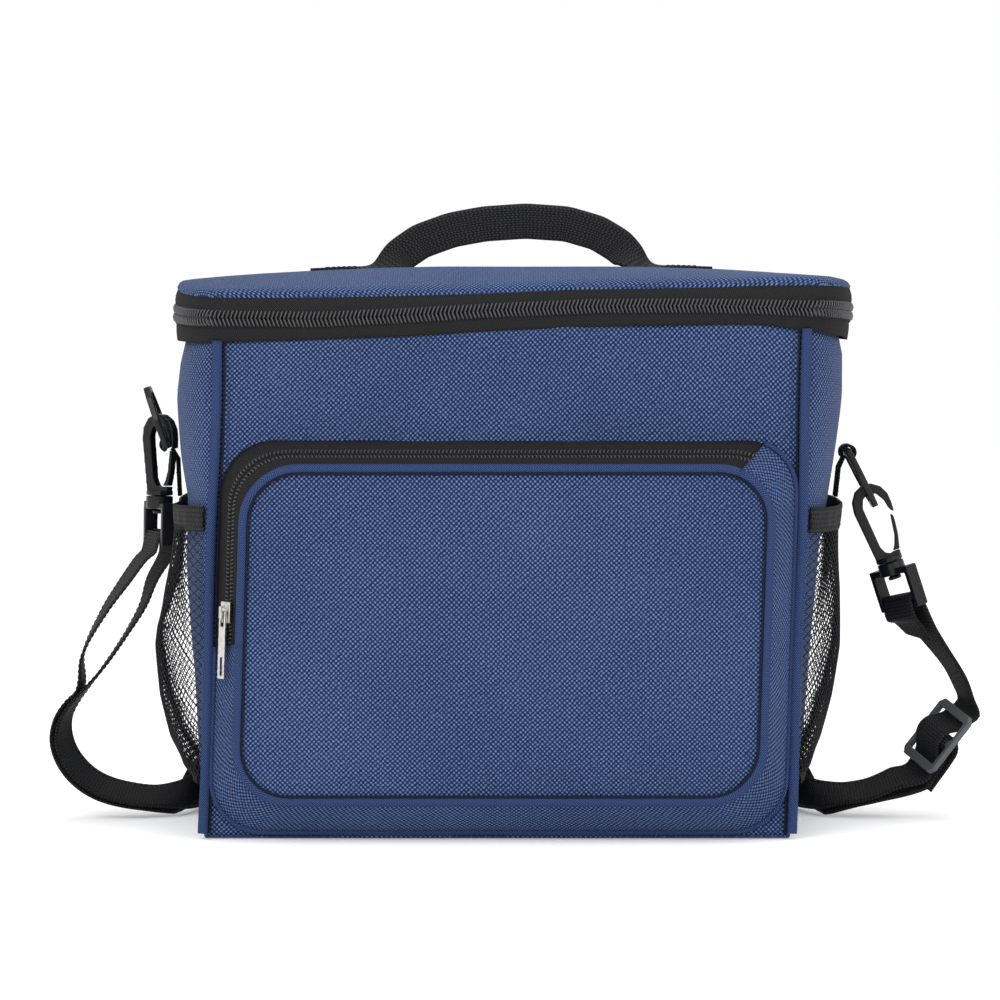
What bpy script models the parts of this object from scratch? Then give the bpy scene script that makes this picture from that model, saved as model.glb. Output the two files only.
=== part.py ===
"""Insulated cooler bag with a zipped lid, a zipped front pocket, two net side pockets,
a folded webbing handle and a clip-on shoulder strap.

The bag stands on z = 0 with its front towards -Y and its base centred on the origin. It
leans a little to the right as it rises, which LEAN holds. Lengths are in metres.
"""

import math

import bmesh
import bpy
from mathutils import Matrix, Vector

MM = 0.001
GAP = 0.3 * MM

# The body: a soft box whose front and back are flat and whose sides swell towards the rim.
DEPTH = 190 * MM
SEAM_HALF = 149.5 * MM
BASE_HALF = 153 * MM
RIM_HALF = 175.5 * MM
SWELL_HEIGHT = 223 * MM
CORNER_DEPTH = 26 * MM
CORNER_STEPS = 4
LEAN = 0.031
WALL_TOP = 255.7 * MM
CLOTH = 1.5 * MM
FOAM = 4.0 * MM
LINER = 0.8 * MM
WALL_LEVELS = (0.0, 0.22, 0.45, 0.7, 1.0)

# The lid zip, which runs round the front and both sides, and the lid above it.
ZIP_END = 86 * MM
TAPE = 1.0 * MM
COIL = 2.6 * MM
COIL_HIGH = 3.0 * MM
ZIP_HEIGHT = 270.1 * MM
ZIP_SPLIT = 1.2 * MM
TAPE_TOP = 281.0 * MM
LID_EDGE = 282.8 * MM
CROWN = 10.5 * MM
HINGE_HEIGHT = 277 * MM

# The handle: webbing folded lengthwise into an arch, with flat sewn ends.
HANDLE_HALF = 70 * MM
HANDLE_FOOT = 296.5 * MM
HANDLE_RISE = 22.5 * MM
SEWN_FROM = 74.5 * MM
SEWN_TO = 106 * MM
SEWN_HALF = 19 * MM

# The front pocket: a rounded box zipped along its left side and top.
POCKET_BACK = (147 * MM, 4 * MM, 204.5 * MM)
POCKET_FRONT = (134 * MM, 21 * MM, 190.5 * MM)
POCKET_CORNER = 27 * MM
POCKET_DEEP = 18 * MM
POCKET_ZIP_LOW = 100 * MM
PANEL = 2.0 * MM

# Zip sliders and their pulls.
SLIDER_LONG = 11 * MM
SLIDER_HALF = 4.2 * MM
PULL_LONG = 34 * MM

# Webbing.
WEB = 1.4 * MM
WEB_WIDE = 25 * MM
STRAND_GAP = 2.2  # in mm, between the two strands where they lie together


def material(name, colour, roughness, metallic=0.0):
    """A plain Principled material."""
    made = bpy.data.materials.new(name)
    made.use_nodes = True
    shader = made.node_tree.nodes["Principled BSDF"]
    shader.inputs["Base Color"].default_value = (*colour, 1.0)
    shader.inputs["Roughness"].default_value = roughness
    shader.inputs["Metallic"].default_value = metallic
    return made


def build(name, points, faces, finish, at=None, smooth=False):
    """One closed object from points and faces, its normals turned outwards."""
    origin = Vector(at) if at is not None else Vector()
    mesh = bpy.data.meshes.new(name)
    shape = bmesh.new()
    corners = [shape.verts.new(Vector(point) - origin) for point in points]
    for face in faces:
        shape.faces.new([corners[i] for i in face])
    bmesh.ops.recalc_face_normals(shape, faces=shape.faces)
    shape.to_mesh(mesh)
    shape.free()
    if smooth:
        mesh.shade_smooth()
        mesh.set_sharp_from_angle(angle=math.radians(40))
    mesh.materials.append(finish)
    made = bpy.data.objects.new(name, mesh)
    made.location = origin
    bpy.context.scene.collection.objects.link(made)
    return made


def sweep(name, sections, finish, ring=False, at=None, smooth=False):
    """A closed solid through equal closed sections: capped at both ends, or joined in a ring."""
    around = len(sections[0])
    points = [point for section in sections for point in section]
    faces = []
    spans = len(sections) if ring else len(sections) - 1
    for i in range(spans):
        here = i * around
        there = (i + 1) % len(sections) * around
        for j in range(around):
            k = (j + 1) % around
            faces.append((here + j, here + k, there + k, there + j))
    if not ring:
        faces.append(tuple(range(around)))
        last = (len(sections) - 1) * around
        faces.append(tuple(range(last, last + around)))
    return build(name, points, faces, finish, at, smooth)


def prism(name, low, high, finish, at=None):
    """A closed solid between two outlines of the same number of points."""
    return sweep(name, [low, high], finish, at=at)


def combine(base, others, operation="UNION"):
    """Adds a Boolean for each helper, which then stays hidden."""
    for other in others:
        step = base.modifiers.new(operation.title(), "BOOLEAN")
        step.operation = operation
        step.solver = "EXACT"
        step.object = other
        other.hide_render = True
        other.display_type = "WIRE"


# ---------------------------------------------------------------- the bag's plan

def half_width(z):
    """Half the bag's width at height z, at mid depth."""
    rise = min(max(z, 0.0) / SWELL_HEIGHT, 1.0)
    return BASE_HALF + (RIM_HALF - BASE_HALF) * (1 - (1 - rise) ** 1.35)


def side_route(inset):
    """(y, share of the side's swell) along one side, front to back."""
    straight = DEPTH / 2 - inset - CORNER_DEPTH
    front = []
    for i in range(CORNER_STEPS + 1):
        turn = math.pi / 2 * (1 - i / CORNER_STEPS)
        front.append((-straight - CORNER_DEPTH * math.sin(turn), math.cos(turn)))
    back = [(-y, share) for y, share in reversed(front)]
    return front + [(0.0, 1.0)] + back


def side_point(side, y, share, z, inset):
    """A point of the wall on one side (-1 left, 1 right)."""
    swell = (half_width(z) - SEAM_HALF) * share
    return (side * (SEAM_HALF - inset + swell) + LEAN * z, y, z)


def outline(inset, z):
    """The closed plan of the wall at one height, right side first."""
    route = side_route(inset)
    right = [side_point(1, y, share, z, inset) for y, share in route]
    left = [side_point(-1, y, share, z, inset) for y, share in reversed(route)]
    return right + left


def levels(low, high):
    return [low + (high - low) * share for share in WALL_LEVELS]


def side_wall(name, side, outer, inner, low, high, finish):
    """One layer of a side wall, from the front seam to the back seam."""
    sections = []
    for (y_out, share), (y_in, _) in zip(side_route(outer), side_route(inner)):
        column = [side_point(side, y_out, share, z, outer) for z in levels(low, high)]
        column += [side_point(side, y_in, share, z, inner) for z in reversed(levels(low, high))]
        sections.append(column)
    return sweep(name, sections, finish, smooth=True)


def flat_wall(name, facing, outer, inner, low, high, finish):
    """One layer of the front (facing -1) or back (facing 1) wall."""
    sections = []
    for across in (-1, 1):
        column = []
        for inset, heights in ((outer, (low, high)), (inner, (high, low))):
            for z in heights:
                x = across * (SEAM_HALF - inset - GAP) + LEAN * z
                column.append((x, facing * (DEPTH / 2 - inset), z))
        sections.append(column)
    return sweep(name, sections, finish)


def plate(name, inset, low, high, finish):
    """A level layer that fills the plan."""
    return prism(name, outline(inset, low), outline(inset, high), finish)


def tub(name, outer, inner, low, floor, high, finish):
    """A floor and walls in one layer."""
    outside = [outline(outer, z) for z in levels(low, high)]
    inside = [outline(inner, z) for z in levels(floor, high)]
    return sweep(name, outside + inside[::-1], finish, smooth=True)


def walls(navy, foam, silver):
    """The body's three layers."""
    foam_at = CLOTH + 3 * GAP
    liner_at = foam_at + FOAM + 3 * GAP
    foam_high = 250 * MM
    plate("base_panel", CLOTH + GAP, 0.0, CLOTH, navy)
    plate("foam_base", foam_at, foam_at, foam_at + FOAM, foam)
    for word, facing in (("front", -1), ("back", 1)):
        flat_wall(f"{word}_panel", facing, 0.0, CLOTH, 0.0, WALL_TOP, navy)
        flat_wall(f"foam_{word}", facing, foam_at, foam_at + FOAM, liner_at, foam_high, foam)
    for word, side in (("left", -1), ("right", 1)):
        side_wall(f"{word}_panel", side, 0.0, CLOTH, 0.0, WALL_TOP, navy)
        side_wall(f"foam_{word}", side, foam_at, foam_at + FOAM, liner_at, foam_high, foam)
    tub("liner", liner_at, liner_at + LINER, liner_at, liner_at + LINER, 252 * MM, silver)


def seam_pipings(navy):
    """A fabric-covered cord down each vertical seam."""
    radius = 1.9 * MM
    for word, facing in (("front", -1), ("back", 1)):
        for hand, side in (("left", -1), ("right", 1)):
            sections = []
            for z in (3 * MM, WALL_TOP / 2, WALL_TOP - GAP):
                x = side * (SEAM_HALF + 0.5 * MM) + LEAN * z
                y = facing * (DEPTH / 2 + radius + GAP)
                ring = []
                for i in range(8):
                    turn = math.tau * (i + 0.5) / 8
                    ring.append((x + radius * math.cos(turn), y + radius * math.sin(turn), z))
                sections.append(ring)
            sweep(f"piping_{word}_{hand}", sections, navy, smooth=True)


# ---------------------------------------------------------------- the lid and its zip

def zip_route(inset):
    """(side, y, share) from the left rear end of the zip round the front to the right one."""
    ahead = [point for point in side_route(inset) if point[0] < 0.05 * DEPTH]
    straight = DEPTH / 2 - inset - CORNER_DEPTH
    bend = (ZIP_END - straight) / CORNER_DEPTH
    left = []
    for turned_by in (bend, bend / 2, 0.0):
        left.append((-1, straight + CORNER_DEPTH * turned_by, math.sqrt(1 - turned_by ** 2)))
    left += [(-1, y, share) for y, share in reversed(ahead)]
    return left + [(1, y, share) for _, y, share in reversed(left)]


def zip_band(name, low, high, outer, inner, finish):
    """A strip that runs the whole way round the lid's zip."""
    sections = []
    for (side, y_out, share_out), (_, y_in, share_in) in zip(zip_route(outer), zip_route(inner)):
        sections.append([
            side_point(side, y_out, share_out, low, outer),
            side_point(side, y_out, share_out, high, outer),
            side_point(side, y_in, share_in, high, inner),
            side_point(side, y_in, share_in, low, inner),
        ])
    return sweep(name, sections, finish, smooth=True)


def crown(x, y):
    """How far the lid's top stands above its edge."""
    along = min(abs(x - LEAN * LID_EDGE) / RIM_HALF, 1.0)
    across = min(abs(y) / (DEPTH / 2), 1.0)
    return CROWN * (1 - along ** 4) * (1 - across ** 4)


def lid_layer(name, inset, drop, thick, finish):
    """One layer of the crowned lid, `drop` below its outer surface."""
    rim = outline(inset, LID_EDGE)
    centre = LEAN * LID_EDGE
    top = []
    bottom = []
    for reach in (0.25, 0.6, 0.85, 1.0):
        ring = [(centre + (x - centre) * reach, y * reach) for x, y, _ in rim]
        top.append([(x, y, LID_EDGE + crown(x, y) - drop) for x, y in ring])
        bottom.append([(x, y, LID_EDGE + crown(x, y) - drop - thick) for x, y in ring])
    return sweep(name, top + bottom[::-1], finish, smooth=True)


def lid(navy, foam, silver, black, tape_black):
    """The lid's layers, both halves of its zip and the fabric hinge behind it."""
    foam_at = CLOTH + 2.5 * GAP
    lower = ZIP_HEIGHT - ZIP_SPLIT / 2
    upper = ZIP_HEIGHT + ZIP_SPLIT / 2
    zip_band("lid_zip_lower_tape", WALL_TOP + GAP, lower - COIL_HIGH - GAP, -TAPE / 2, TAPE / 2, tape_black)
    zip_band("lid_zip_lower_coil", lower - COIL_HIGH, lower, -COIL / 2, COIL / 2, black)
    zip_band("lid_zip_upper_coil", upper, upper + COIL_HIGH, -COIL / 2, COIL / 2, black)
    zip_band("lid_zip_upper_tape", upper + COIL_HIGH + GAP, TAPE_TOP, -TAPE / 2, TAPE / 2, tape_black)
    lid_layer("lid_top_panel", 0.0, 0.0, CLOTH, navy)
    lid_layer("lid_foam", foam_at, foam_at, FOAM, foam)
    lid_layer("lid_liner", foam_at, foam_at + FOAM + 2 * GAP, LINER, silver)
    strip = []
    for z in (WALL_TOP + GAP, HINGE_HEIGHT - 3.5 * MM):
        x = LEAN * z
        half = SEAM_HALF - 2 * MM
        back = DEPTH / 2
        strip.append([(x - half, back, z), (x + half, back, z),
                      (x + half, back - CLOTH, z), (x - half, back - CLOTH, z)])
    prism("lid_hinge_strip", strip[0], strip[1], navy)


# ---------------------------------------------------------------- the handle

def handle(webbing):
    """The folded arch, on its hinge line, and the two flat ends sewn to the lid."""
    centre = LEAN * LID_EDGE
    sections = []
    steps = 14
    for i in range(steps + 1):
        turn = math.pi * i / steps
        x = HANDLE_HALF * math.copysign(abs(math.cos(turn)) ** 0.8, math.cos(turn))
        z = HANDLE_FOOT + HANDLE_RISE * math.sin(turn) ** 0.8
        tall = (5 + 12 * math.sin(turn) ** 0.6) * MM
        lean = Vector((math.cos(turn), 0.0, math.sin(turn)))
        if i in (0, steps):
            lean = Vector((math.copysign(1.0, math.cos(turn)), 0.0, 0.0))
        middle = Vector((centre + x, 0.0, z))
        half = 2.2 * MM
        sections.append([
            middle - lean * tall / 2 + Vector((0, -half, 0)),
            middle + lean * tall / 2 + Vector((0, -half, 0)),
            middle + lean * tall / 2 + Vector((0, half, 0)),
            middle - lean * tall / 2 + Vector((0, half, 0)),
        ])
    sweep("handle_webbing", sections, webbing, at=(centre, 0.0, HANDLE_FOOT), smooth=True)
    for word, side in (("left", -1), ("right", 1)):
        sections = []
        for step in range(4):
            x = centre + side * (SEWN_FROM + (SEWN_TO - SEWN_FROM) * step / 3)
            ring = []
            for y in (-SEWN_HALF, 0.0, SEWN_HALF):
                ring.append((x, y, LID_EDGE + crown(x, y) + GAP))
            for y in (SEWN_HALF, 0.0, -SEWN_HALF):
                ring.append((x, y, LID_EDGE + crown(x, y) + GAP + 1.7 * MM))
            sections.append(ring)
        sweep(f"handle_end_{word}", sections, webbing)


# ---------------------------------------------------------------- the front pocket

def rounded(half, low, high, corner, shrink=0.0):
    """A rounded rectangle in (x, z), from bottom middle anticlockwise as seen from the front."""
    half -= shrink
    low += shrink
    high -= shrink
    corner = max(corner - shrink, 2 * MM)
    points = []
    corners = (
        (half - corner, low + corner, -90),
        (half - corner, high - corner, 0),
        (-half + corner, high - corner, 90),
        (-half + corner, low + corner, 180),
    )
    for x, z, start in corners:
        for i in range(5):
            turn = math.radians(start + 22.5 * i)
            points.append((x + corner * math.cos(turn), z + corner * math.sin(turn)))
    return points


def pocket_outline(share, shrink, end_height):
    """The pocket's edge at a share of its depth, cut where the zip starts on the left."""
    back = rounded(*POCKET_BACK, POCKET_CORNER, shrink)
    front = rounded(*POCKET_FRONT, POCKET_CORNER, shrink)
    ring = []
    for (x0, z0), (x1, z1) in zip(back, front):
        ring.append((x0 + (x1 - x0) * share, z0 + (z1 - z0) * share))
    left_top = ring[14]
    left_low = ring[15]
    cut = (left_top[0] + (left_low[0] - left_top[0]) * 0.5, end_height)
    return ring[:15] + [cut] + ring[15:]


ZIP_RIGHT = 8
ZIP_LEFT = 15
AROUND = 21
Y_POCKET = -DEPTH / 2 - GAP


def pocket_strip(name, first, last, near, far, thick, lift, finish, trim=0.0):
    """A strip of the pocket's edge between two shares of its depth."""
    sections = []
    for step in range(first, last + 1):
        height = POCKET_ZIP_LOW
        if trim and step in (first, last) and step % AROUND == ZIP_LEFT:
            height += trim
        ring = []
        for share, shrink in ((near, -lift), (far, -lift), (far, thick - lift), (near, thick - lift)):
            edge = pocket_outline(share, shrink, height)
            x, z = edge[step % AROUND]
            if trim and step % AROUND == ZIP_RIGHT:
                x += math.copysign(trim, trim) * (-1 if step == first else 1)
            ring.append((x + LEAN * z, Y_POCKET - POCKET_DEEP * share, z))
        sections.append(ring)
    return sweep(name, sections, finish, smooth=True)


def pocket_axis():
    """The two ends of the fold that the pocket's zipped corner opens about."""
    edge = pocket_outline(1.0, 0.0, POCKET_ZIP_LOW)
    y = Y_POCKET - POCKET_DEEP - PANEL - 2 * GAP
    ends = []
    for place in (ZIP_LEFT, ZIP_RIGHT):
        x, z = edge[place]
        ends.append(Vector((x + LEAN * z, y, z)))
    return ends


def pocket_panels(navy):
    """The pocket's front in two pieces that meet along the fold, and the piping round each."""
    edge = [(x + LEAN * z, z) for x, z in pocket_outline(1.0, 0.0, POCKET_ZIP_LOW)]
    inner = [(x + LEAN * z, z) for x, z in pocket_outline(1.0, 4.4 * MM, POCKET_ZIP_LOW)]
    left, right = pocket_axis()
    fold = (right - left).normalized()
    across = Vector((-fold.z, 0.0, fold.x))
    back = Y_POCKET - POCKET_DEEP - GAP
    for name, span, side in (
        ("pocket_flap", range(ZIP_RIGHT, ZIP_LEFT + 1), 1),
        ("pocket_front_panel", range(ZIP_LEFT, ZIP_RIGHT + AROUND + 1), -1),
    ):
        shift = across * (side * GAP)
        face = [Vector((inner[i % AROUND][0], 0.0, inner[i % AROUND][1])) + shift for i in span]
        low = [(p.x, back, p.z) for p in face]
        high = [(p.x, back - PANEL, p.z) for p in face]
        prism(name, low, high, navy, at=left if side > 0 else None)
    for name, span, side in (
        ("pocket_flap_piping", range(ZIP_RIGHT, ZIP_LEFT + 1), 1),
        ("pocket_piping", range(ZIP_LEFT, ZIP_RIGHT + AROUND + 1), -1),
    ):
        sections = []
        for i in span:
            shift = across * (side * GAP) if i % AROUND in (ZIP_LEFT, ZIP_RIGHT) else Vector()
            ring = []
            for source, lift in ((edge, 0.0), (edge, PANEL), (inner, PANEL), (inner, 0.0)):
                x, z = source[i % AROUND]
                if source is inner:
                    x += (edge[i % AROUND][0] - x) * 0.09
                    z += (edge[i % AROUND][1] - z) * 0.09
                ring.append((x + shift.x, back - lift, z + shift.z))
            sections.append(ring)
        sweep(name, sections, navy, at=left if side > 0 else None)


def pocket(navy, black, tape_black):
    """Gusset, zip and front of the pocket."""
    tape = TAPE
    coil = 2.0 * MM
    pocket_strip("pocket_gusset", ZIP_LEFT, ZIP_RIGHT + AROUND, 0.0, 0.985, CLOTH, 0.0, navy)
    zipped = (ZIP_RIGHT, ZIP_LEFT)
    trim = 2 * GAP
    pocket_strip("pocket_zip_outer_tape", *zipped, 0.0, 0.36, tape, 0.0, tape_black, trim)
    pocket_strip("pocket_zip_outer_coil", *zipped, 0.375, 0.495, coil, coil / 4, black, trim)
    pocket_strip("pocket_zip_inner_coil", *zipped, 0.55, 0.67, coil, coil / 4, black, trim)
    pocket_strip("pocket_zip_inner_tape", *zipped, 0.685, 0.985, tape, 0.0, tape_black, trim)
    pocket_panels(navy)


# ---------------------------------------------------------------- sliders and pulls

def block(name, frame, low, high, finish, at=None):
    """A box between two corners of a local frame."""
    points = []
    for a in (low[0], high[0]):
        for b in (low[1], high[1]):
            for c in (low[2], high[2]):
                points.append(frame @ Vector((a, b, c)))
    faces = [(0, 1, 3, 2), (4, 6, 7, 5), (0, 4, 5, 1), (2, 3, 7, 6), (0, 2, 6, 4), (1, 5, 7, 3)]
    return build(name, points, faces, finish, at)


def ring_plate(name, frame, outer, inner, low, high, finish, at=None, smooth=False):
    """A flat frame: an outline with one hole, given as equal lists of points."""
    loops = []
    for outline_points, height in ((outer, low), (outer, high), (inner, high), (inner, low)):
        loops.append([frame @ Vector((a, b, height)) for a, b in outline_points])
    return sweep(name, loops, finish, ring=True, at=at, smooth=smooth)


def local_frame(origin, across, along, facing):
    """A matrix from local (across, along, facing) to the bag's space."""
    columns = Matrix((across, along, facing)).transposed().to_4x4()
    return Matrix.Translation(origin) @ columns


def slider(name, frame, inner_from, gap_out, metal, at=None):
    """A zip slider: outer plate, post between the coils, inner plate, and a lug for the pull.

    Local X crosses the zip, Y runs along it, Z faces outwards from the coil's middle. With no
    inner plate the post is short.
    """
    half = COIL / 2
    long = SLIDER_LONG / 2
    outer = half + gap_out
    body = block(name, frame, (-SLIDER_HALF, -long, outer), (SLIDER_HALF, long, outer + 1.2 * MM), metal, at)
    deep = -0.2 * MM if inner_from is None else -half - 0.9 * MM
    pieces = [block(f"{name}_post", frame, (-0.3 * MM, -long, deep), (0.3 * MM, long, outer + 0.2 * MM), metal)]
    if inner_from is not None:
        pieces.append(block(f"{name}_under", frame, (inner_from, -long, -half - 1.8 * MM),
                            (SLIDER_HALF, long, -half - 0.7 * MM), metal))
    lug_low = outer + 0.9 * MM
    lug_top = outer + 4.3 * MM
    lug = block(f"{name}_lug", frame, (-1.1 * MM, -3.2 * MM, lug_low), (1.1 * MM, 3.2 * MM, lug_top), metal)
    eye = block(f"{name}_eye", frame, (-2 * MM, -2.2 * MM, outer + 1.2 * MM), (2 * MM, 2.2 * MM, lug_top - MM), metal)
    combine(lug, [eye], "DIFFERENCE")
    combine(body, [*pieces, lug])
    return outer + 2.25 * MM


def pull(name, frame, metal, at):
    """A pull: a frame that hangs in the lug, with a slot at its far end. Its bar is on local Y = 0."""
    half = 0.65 * MM
    tab = block(name, frame, (-2.9 * MM, -PULL_LONG, -half), (2.9 * MM, half, half), metal, at)
    head = block(f"{name}_head", frame, (-1.6 * MM, -7.4 * MM, -MM), (1.6 * MM, -half, MM), metal)
    slot = block(f"{name}_slot", frame, (-1.2 * MM, -PULL_LONG + 1.6 * MM, -MM),
                 (1.2 * MM, -PULL_LONG + 11 * MM, MM), metal)
    combine(tab, [head, slot], "DIFFERENCE")


def lid_slider(metal):
    """The lid's slider, at the left rear end of the zip, its pull lying towards the rear."""
    y = 62 * MM
    middle = Vector((-RIM_HALF + LEAN * ZIP_HEIGHT, y, ZIP_HEIGHT))
    frame = local_frame(middle, Vector((0, 0, -1)), Vector((0, -1, 0)), Vector((-1, 0, 0)))
    reach = slider("lid_slider", frame, -SLIDER_HALF, 0.6 * MM, metal, at=middle)
    pivot = middle + Vector((-reach, 0, 0))
    hang = local_frame(pivot, Vector((0, 0, -1)), Vector((0, -1, 0)), Vector((-1, 0, 0)))
    pull("lid_pull", hang, metal, pivot)


def pocket_slider(metal):
    """The pocket's slider near the foot of the left run, its pull hanging down."""
    height = 117 * MM
    back = pocket_outline(0.0, 0.0, height)[ZIP_LEFT]
    front = pocket_outline(1.0, 0.0, height)[ZIP_LEFT]
    share = 0.5225
    x = back[0] + (front[0] - back[0]) * share + LEAN * height
    middle = Vector((x, Y_POCKET - POCKET_DEEP * share, height))
    across = Vector((front[0] - back[0], -POCKET_DEEP, 0)).normalized()
    rise = Vector((LEAN, 0, 1)).normalized()
    facing = rise.cross(across).normalized()
    if facing.x > 0:
        facing = -facing
    frame = local_frame(middle, across, rise, facing)
    reach = slider("pocket_slider", frame, None, 0.6 * MM, metal, at=middle)
    pivot = middle + facing * reach
    hang = local_frame(pivot, across, rise, facing)
    pull("pocket_pull", hang, metal, pivot)


# ---------------------------------------------------------------- the side pockets

NET_LEVELS = (
    (28 * MM, 1.6 * MM), (34 * MM, 9 * MM), (46 * MM, 14 * MM), (68 * MM, 17 * MM),
    (95 * MM, 17.5 * MM), (125 * MM, 13.5 * MM), (145 * MM, 9.5 * MM), (157.5 * MM, 7.5 * MM),
)
BAND = (157.8 * MM, 169.8 * MM)


def bulged(side, y, z, lift):
    """A point beside the wall, `lift` out from it at mid depth and nearly on it at the seams.

    Behind the left hook the net's upper part is pressed flat.
    """
    reach = min(abs(y) / (92 * MM), 1.0)
    if side < 0:
        height = min(max((z - 105 * MM) / (35 * MM), 0.0), 1.0)
        lift *= 1 - 0.97 * height * math.exp(-((y + 14 * MM) / (26 * MM)) ** 2)
    share = math.sqrt(max(1 - (max(abs(y) - 69 * MM, 0) / CORNER_DEPTH) ** 2, 0))
    x, _, _ = side_point(side, y, share, z, 0.0)
    return (x + side * (0.6 * MM + lift * (1 - reach ** 2.5)), y, z)


def side_pocket(word, side, net, elastic):
    """The bulging net and the elastic band round its mouth."""
    depths = [78 * MM * step / 5 for step in range(-5, 6)]
    sections = []
    for y in depths:
        ring = [bulged(side, y, z, lift) for z, lift in NET_LEVELS]
        ring += [bulged(side, y, z, lift - MM) for z, lift in reversed(NET_LEVELS)]
        ring = [(x + side * MM, y, z) for x, y, z in ring]
        sections.append(ring)
    sweep(f"net_pocket_{word}", sections, net, smooth=True)
    sections = []
    for y in depths:
        ring = []
        for thick, z in ((1.2, BAND[0]), (1.2, BAND[1]), (0.0, BAND[1]), (0.0, BAND[0])):
            x, _, _ = bulged(side, y, z, 6.2 * MM)
            ring.append((x + side * thick * MM, y, z))
        sections.append(ring)
    sweep(f"elastic_{word}", sections, elastic, smooth=True)


# ---------------------------------------------------------------- rings, tabs and hooks

RINGS = {
    # word: pivot (x, z), tip (x, z), tab's lowest point (x, z), tab's span in y
    "left": ((-175.6 * MM, 199.6 * MM), (-185.6 * MM, 227.6 * MM), 172 * MM, (-2 * MM, 13 * MM)),
    "right": ((186.5 * MM, 195.5 * MM), (200.2 * MM, 168.8 * MM), 172 * MM, (-10 * MM, 10 * MM)),
}
HOOKS = {
    # word: collar's top middle, long axis (x, z), turn about it in degrees
    "left": (Vector((-179.4 * MM, -7.5 * MM, 172.6 * MM)), (0.02, 1.0), -34),
    "right": (Vector((209.5 * MM, 0.0, 136.9 * MM)), (-0.308, 0.951), 0),
}


def ring_loop(inset):
    """A ring seen face on: wide at the pivot, narrower at the tip."""
    length = 30 * MM
    wide = 17 * MM - inset
    slim = 11 * MM - inset
    end = length + 2.4 * MM - inset
    start = -2.1 * MM + inset
    cut = max(4 * MM - inset, 1 * MM)
    return [(-wide, start), (wide, start), (wide, 14 * MM), (slim + MM, end - cut * 1.4), (slim - cut, end),
            (-slim + cut, end), (-slim - MM, end - cut * 1.4), (-wide, 14 * MM)]


def ring_and_tab(word, side, plastic, webbing):
    """A plastic ring on its pivot bar, and the webbing tab folded round the bar."""
    (x, z), (tip_x, tip_z), low, (y_low, y_high) = RINGS[word]
    along = Vector((tip_x - x, 0, tip_z - z)).normalized()
    across = Vector((0, 1, 0))
    facing = across.cross(along)
    frame = local_frame(Vector((x, 0, z)), across, along, facing)
    half = 1.7 * MM
    ring_plate(f"ring_{word}", frame, ring_loop(0.0), ring_loop(3.6 * MM), -half, half, plastic, at=(x, 0, z))
    bar = 2.9 * MM
    wrap = []
    inner = []
    wall = side_point(side, 0.0, 1.0, low, 0.0)[0] + side * 0.9 * MM
    for i in range(9):
        turn = math.radians(250 - 300 * i / 8)
        if side > 0:
            turn = math.pi - turn
        wrap.append((x + (bar + WEB) * math.cos(turn), z + (bar + WEB) * math.sin(turn)))
        inner.append((x + bar * math.cos(turn), z + bar * math.sin(turn)))
    wall_high = side_point(side, 0.0, 1.0, z - 9 * MM, 0.0)[0] + side * 0.9 * MM
    tail_out = [(wall_high + side * 2.6 * MM, z - 9 * MM), (wall + side * 2.6 * MM, low)]
    tail_in = [(wall_high, z - 9 * MM), (wall, low)]
    strap = wrap + tail_in + tail_out[::-1] + inner[::-1]
    low_face = [(px, y_low, pz) for px, pz in strap]
    high_face = [(px, y_high, pz) for px, pz in strap]
    prism(f"ring_tab_{word}", low_face, high_face, webbing)


def hook_frame(word):
    """Local X towards the gate, Y along the hook, Z through its thickness."""
    middle, (ax, az), turn = HOOKS[word]
    along = Vector((ax, 0, az)).normalized()
    across = Vector((along.z, 0, -along.x))
    spin = Matrix.Rotation(math.radians(turn), 3, along)
    across = spin @ across
    return middle, local_frame(middle, across, along, across.cross(along)), along


HOOK_LINE = (
    # x, y in mm: up the shaft's outside, over the bend, down the nose, back inside
    (-6.6, 0.4), (-7.6, 8), (-10.5, 30), (-9.9, 36), (-6.8, 41), (-2, 43.4), (3, 43), (7.4, 40),
    (9.8, 35.5), (10.4, 30), (10.2, 25), (8.8, 26.2), (7.8, 28.2), (6.8, 32.5), (3.8, 37), (0, 38.2),
    (-3.6, 36.2), (-5.2, 31.5), (-2.6, 9), (-0.8, 5.4), (2.0, 4.2), (3.2, 4.9), (7.0, 4.9), (6.6, 0.4),
)
GATE_LINE = ((3.4, 5.3), (7.0, 5.3), (8.6, 13), (9.2, 20), (9.2, 23.4), (7.8, 24.4), (7.3, 20), (6.6, 13), (5.0, 8))


def hook(word, plastic):
    """A swivel hook: body with its stem, and the springy gate."""
    middle, frame, along = hook_frame(word)
    low = []
    high = []
    for x, y in HOOK_LINE:
        low.append(frame @ Vector((x * MM, y * MM, -2.5 * MM)))
        high.append(frame @ Vector((x * MM, y * MM, 2.5 * MM)))
    body = prism(f"hook_{word}", low, high, plastic, at=middle)
    stem = turned(f"hook_stem_{word}", frame, ((2.4, 1.0), (2.4, -7.6), (3.6, -7.8), (3.6, -9.6)), plastic)
    foot = turned(f"hook_foot_{word}", frame, ((7.2, 2.6), (7.2, 0.2)), plastic)
    combine(body, [foot, stem])
    low = []
    high = []
    for x, y in GATE_LINE:
        low.append(frame @ Vector((x * MM, y * MM, -2.2 * MM)))
        high.append(frame @ Vector((x * MM, y * MM, 2.2 * MM)))
    prism(f"hook_gate_{word}", low, high, plastic, at=frame @ Vector((5.2 * MM, 5.3 * MM, 0)))


def turned(name, frame, profile, finish, around=14):
    """A turned solid about the local Y axis, from (radius, height) pairs in mm, top first."""
    sections = []
    for radius, height in profile:
        ring = []
        for i in range(around):
            turn = math.tau * i / around
            ring.append(frame @ Vector((radius * MM * math.cos(turn), height * MM, radius * MM * math.sin(turn))))
        sections.append(ring)
    return sweep(name, sections, finish, smooth=True)


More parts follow.
